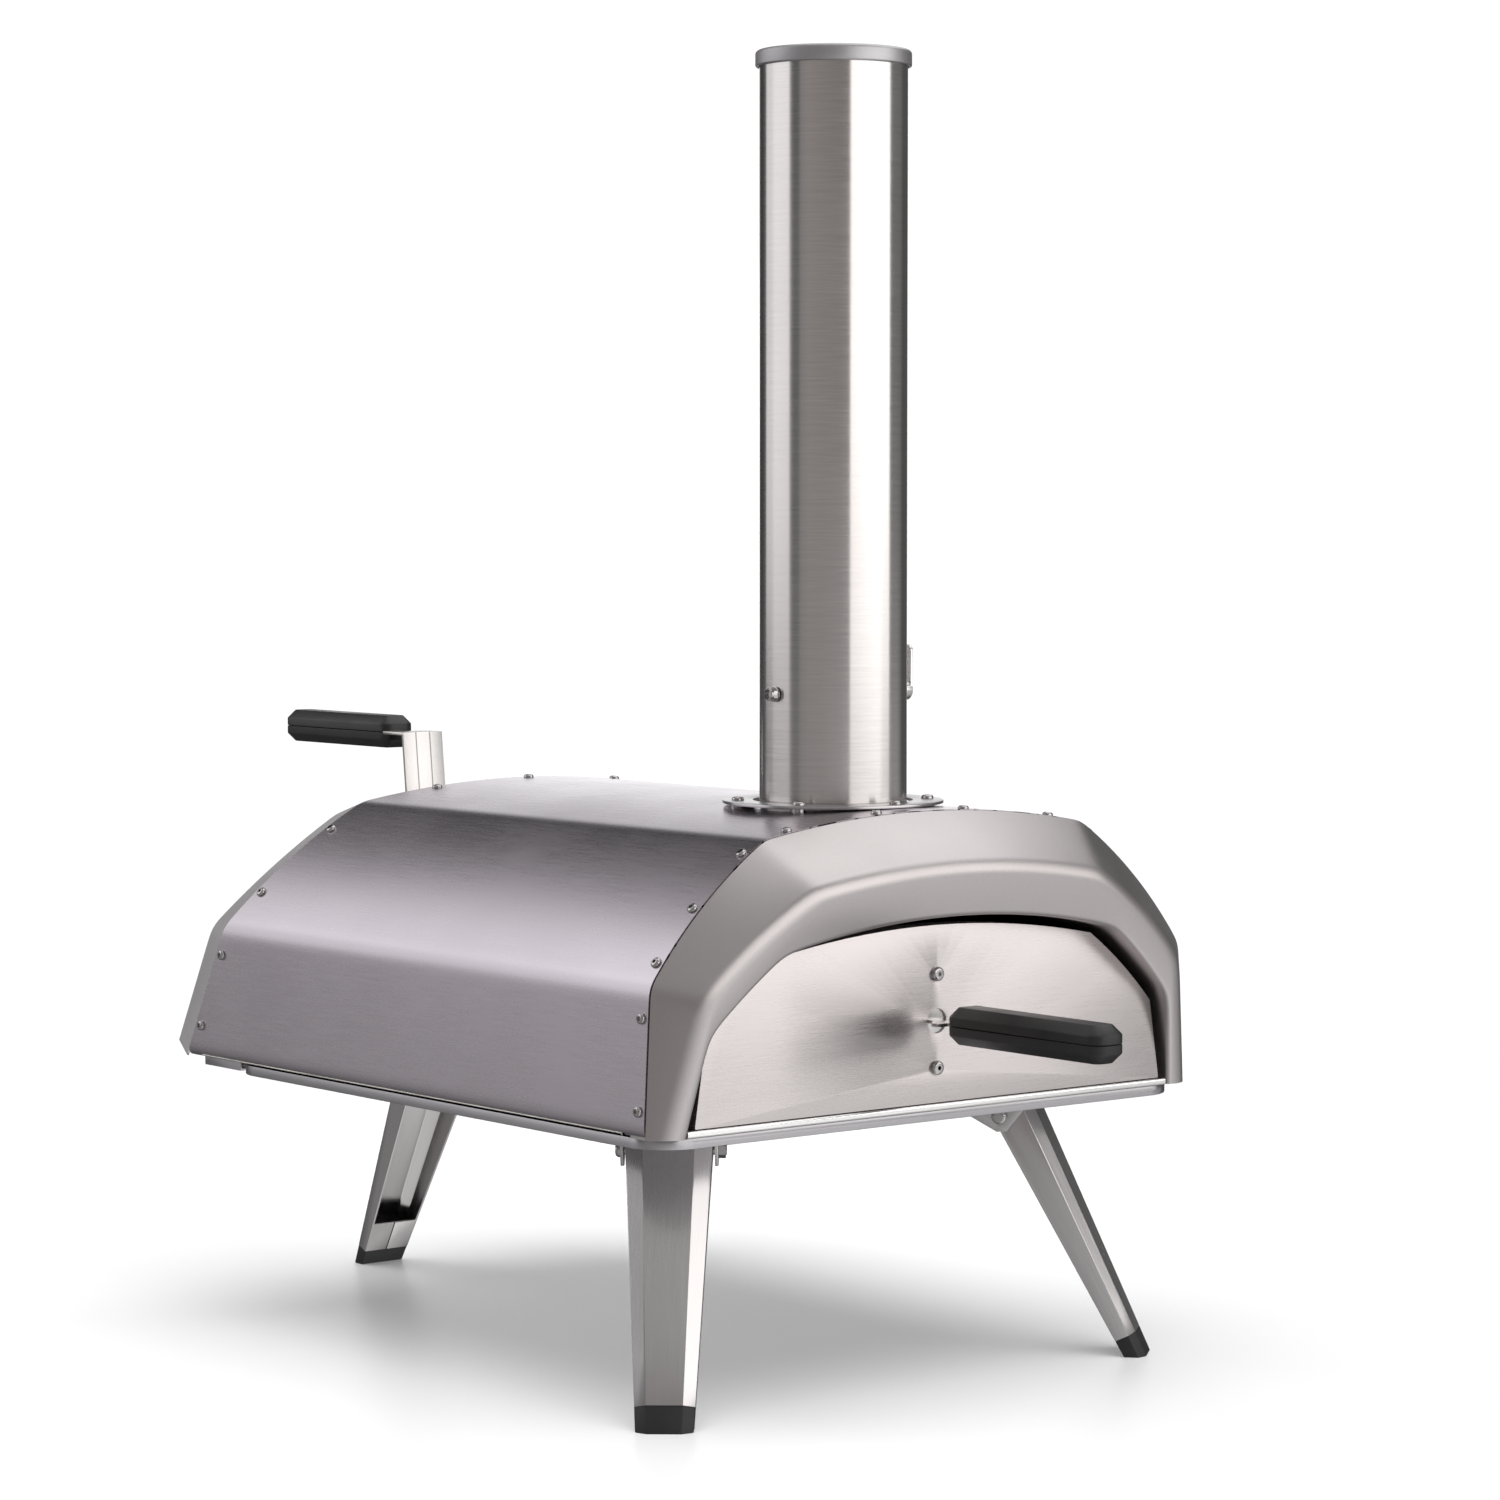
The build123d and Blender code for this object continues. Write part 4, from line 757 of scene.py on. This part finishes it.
burner_steel = brushed_steel("brushed burner steel", (0.58, 0.57, 0.56), 0.30, "x")
# The strap's colour carries a line of painted shade along its crease.
crease_shaded_steel = brushed_steel("strap steel with painted crease shade", (0.60, 0.58, 0.57), 0.25, "z", crease=STRAP_CREASE)
eased_copy("burner_box", "burner_housing", burner_steel, "oven", width=0.0004)
eased_copy("lid", "hatch_lid", burner_steel, "hatch", width=0.0006)
eased_copy("lid_strap", "hatch_strap", crease_shaded_steel, "hatch", width=0.0005)
for node in ("hatch_rivets", "hatch_handle_screws"):
    eased_copy(node + "_set", node, screw_steel, "hatch", crease=FASTENER_CREASE)
eased_copy("drawer", "fuel_tray", burner_steel, "drawer", width=0.0003)
eased_copy("grate", "fuel_grate", burner_steel, "drawer", width=0.0003)
eased_copy("rear_plate", "rear_leg_plate", tray_steel, "oven", width=0.0003)

# ---------------------------------------------------------------------------
# Damper: a steel spindle across the chimney that carries the round plate inside it, with
# a nut at one end and a sheet lever that turns it at the other.

DAMPER_PARTS = {
    "damper_plate": (screw_steel, "sheet_steel", 0.0002), "damper_axle": (screw_steel, "fasteners", 0.0),
    "damper_nut": (screw_steel, "fasteners", 0.0002), "damper_lever": (strap_steel, "sheet_steel", 0.0002)}

for node, (steel, slot, width) in DAMPER_PARTS.items():
    eased_copy(node + "_part", node, steel, "damper", width, crease=FASTENER_CREASE)

# ---------------------------------------------------------------------------
# Legs: three tapered channels folded from sheet steel with cut corners, brushed lengthwise.
# Each turns on a pin in a folded bracket under the tray and ends in a black rubber foot.

LEG_LEAN = radians(24.8)
SPREADS = {"front_left": (-0.7071, -0.7071), "front_right": (0.7071, -0.7071), "rear": (0.0, 1.0)}
LEG_CREASE = 22

bracket_steel = brushed_steel("brushed bracket steel", (0.62, 0.60, 0.60), 0.26, "x", contrast=0.03)
foot_rubber = moulded_plastic("black foot rubber", (0.012, 0.012, 0.012), 0.55)
for corner, (out_x, out_y) in SPREADS.items():
    down = (out_x * sin(LEG_LEAN), out_y * sin(LEG_LEAN), -cos(LEG_LEAN))
    leg_steel = brushed_steel(f"brushed leg steel {corner}", (0.58, 0.56, 0.56), 0.24, down, depth=0.006,
                              contrast=0.04)
    eased_copy(f"leg_{corner}_channel", f"leg_{corner}", leg_steel, f"leg_{corner}_set",
               width=0.0006, segments=3, crease=LEG_CREASE)
    eased_copy(f"foot_{corner}_rubber", f"foot_{corner}", foot_rubber, f"leg_{corner}_set",
               width=0.0008, segments=3, crease=LEG_CREASE)
eased_copy("brackets", "leg_brackets", bracket_steel, "oven", width=0.0004)

# ---------------------------------------------------------------------------
# Inside: a sheet steel liner darkened by soot, with its floor, back, guard, spigot and mouth
# frame, packed round with slabs of pale ceramic fibre. The baking stone lies loose on its seat.

SOOTED_NODES = ("liner", "liner_floor", "liner_back", "flue_collar", "flame_guard", "mouth_frame")

sooted_steel = brushed_steel("sooted inner steel", (0.42, 0.40, 0.38), 0.38, "y")
fibre = moulded_plastic("pale fibre", (0.70, 0.68, 0.62), 0.9)
sooted_fibre = moulded_plastic("sooted fibre", (0.06, 0.055, 0.05), 0.9)
stone = moulded_plastic("pale stone", (0.62, 0.56, 0.46), 0.85)
inner_finishes = {node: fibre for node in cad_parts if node.startswith("insulation")}
inner_finishes.update({node: sooted_steel for node in SOOTED_NODES})
inner_finishes.update({"door_insulation": sooted_fibre, "baking_stone": stone})
for node, finish in inner_finishes.items():
    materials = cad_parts[node].data.materials
    materials.clear()
    materials.append(finish)
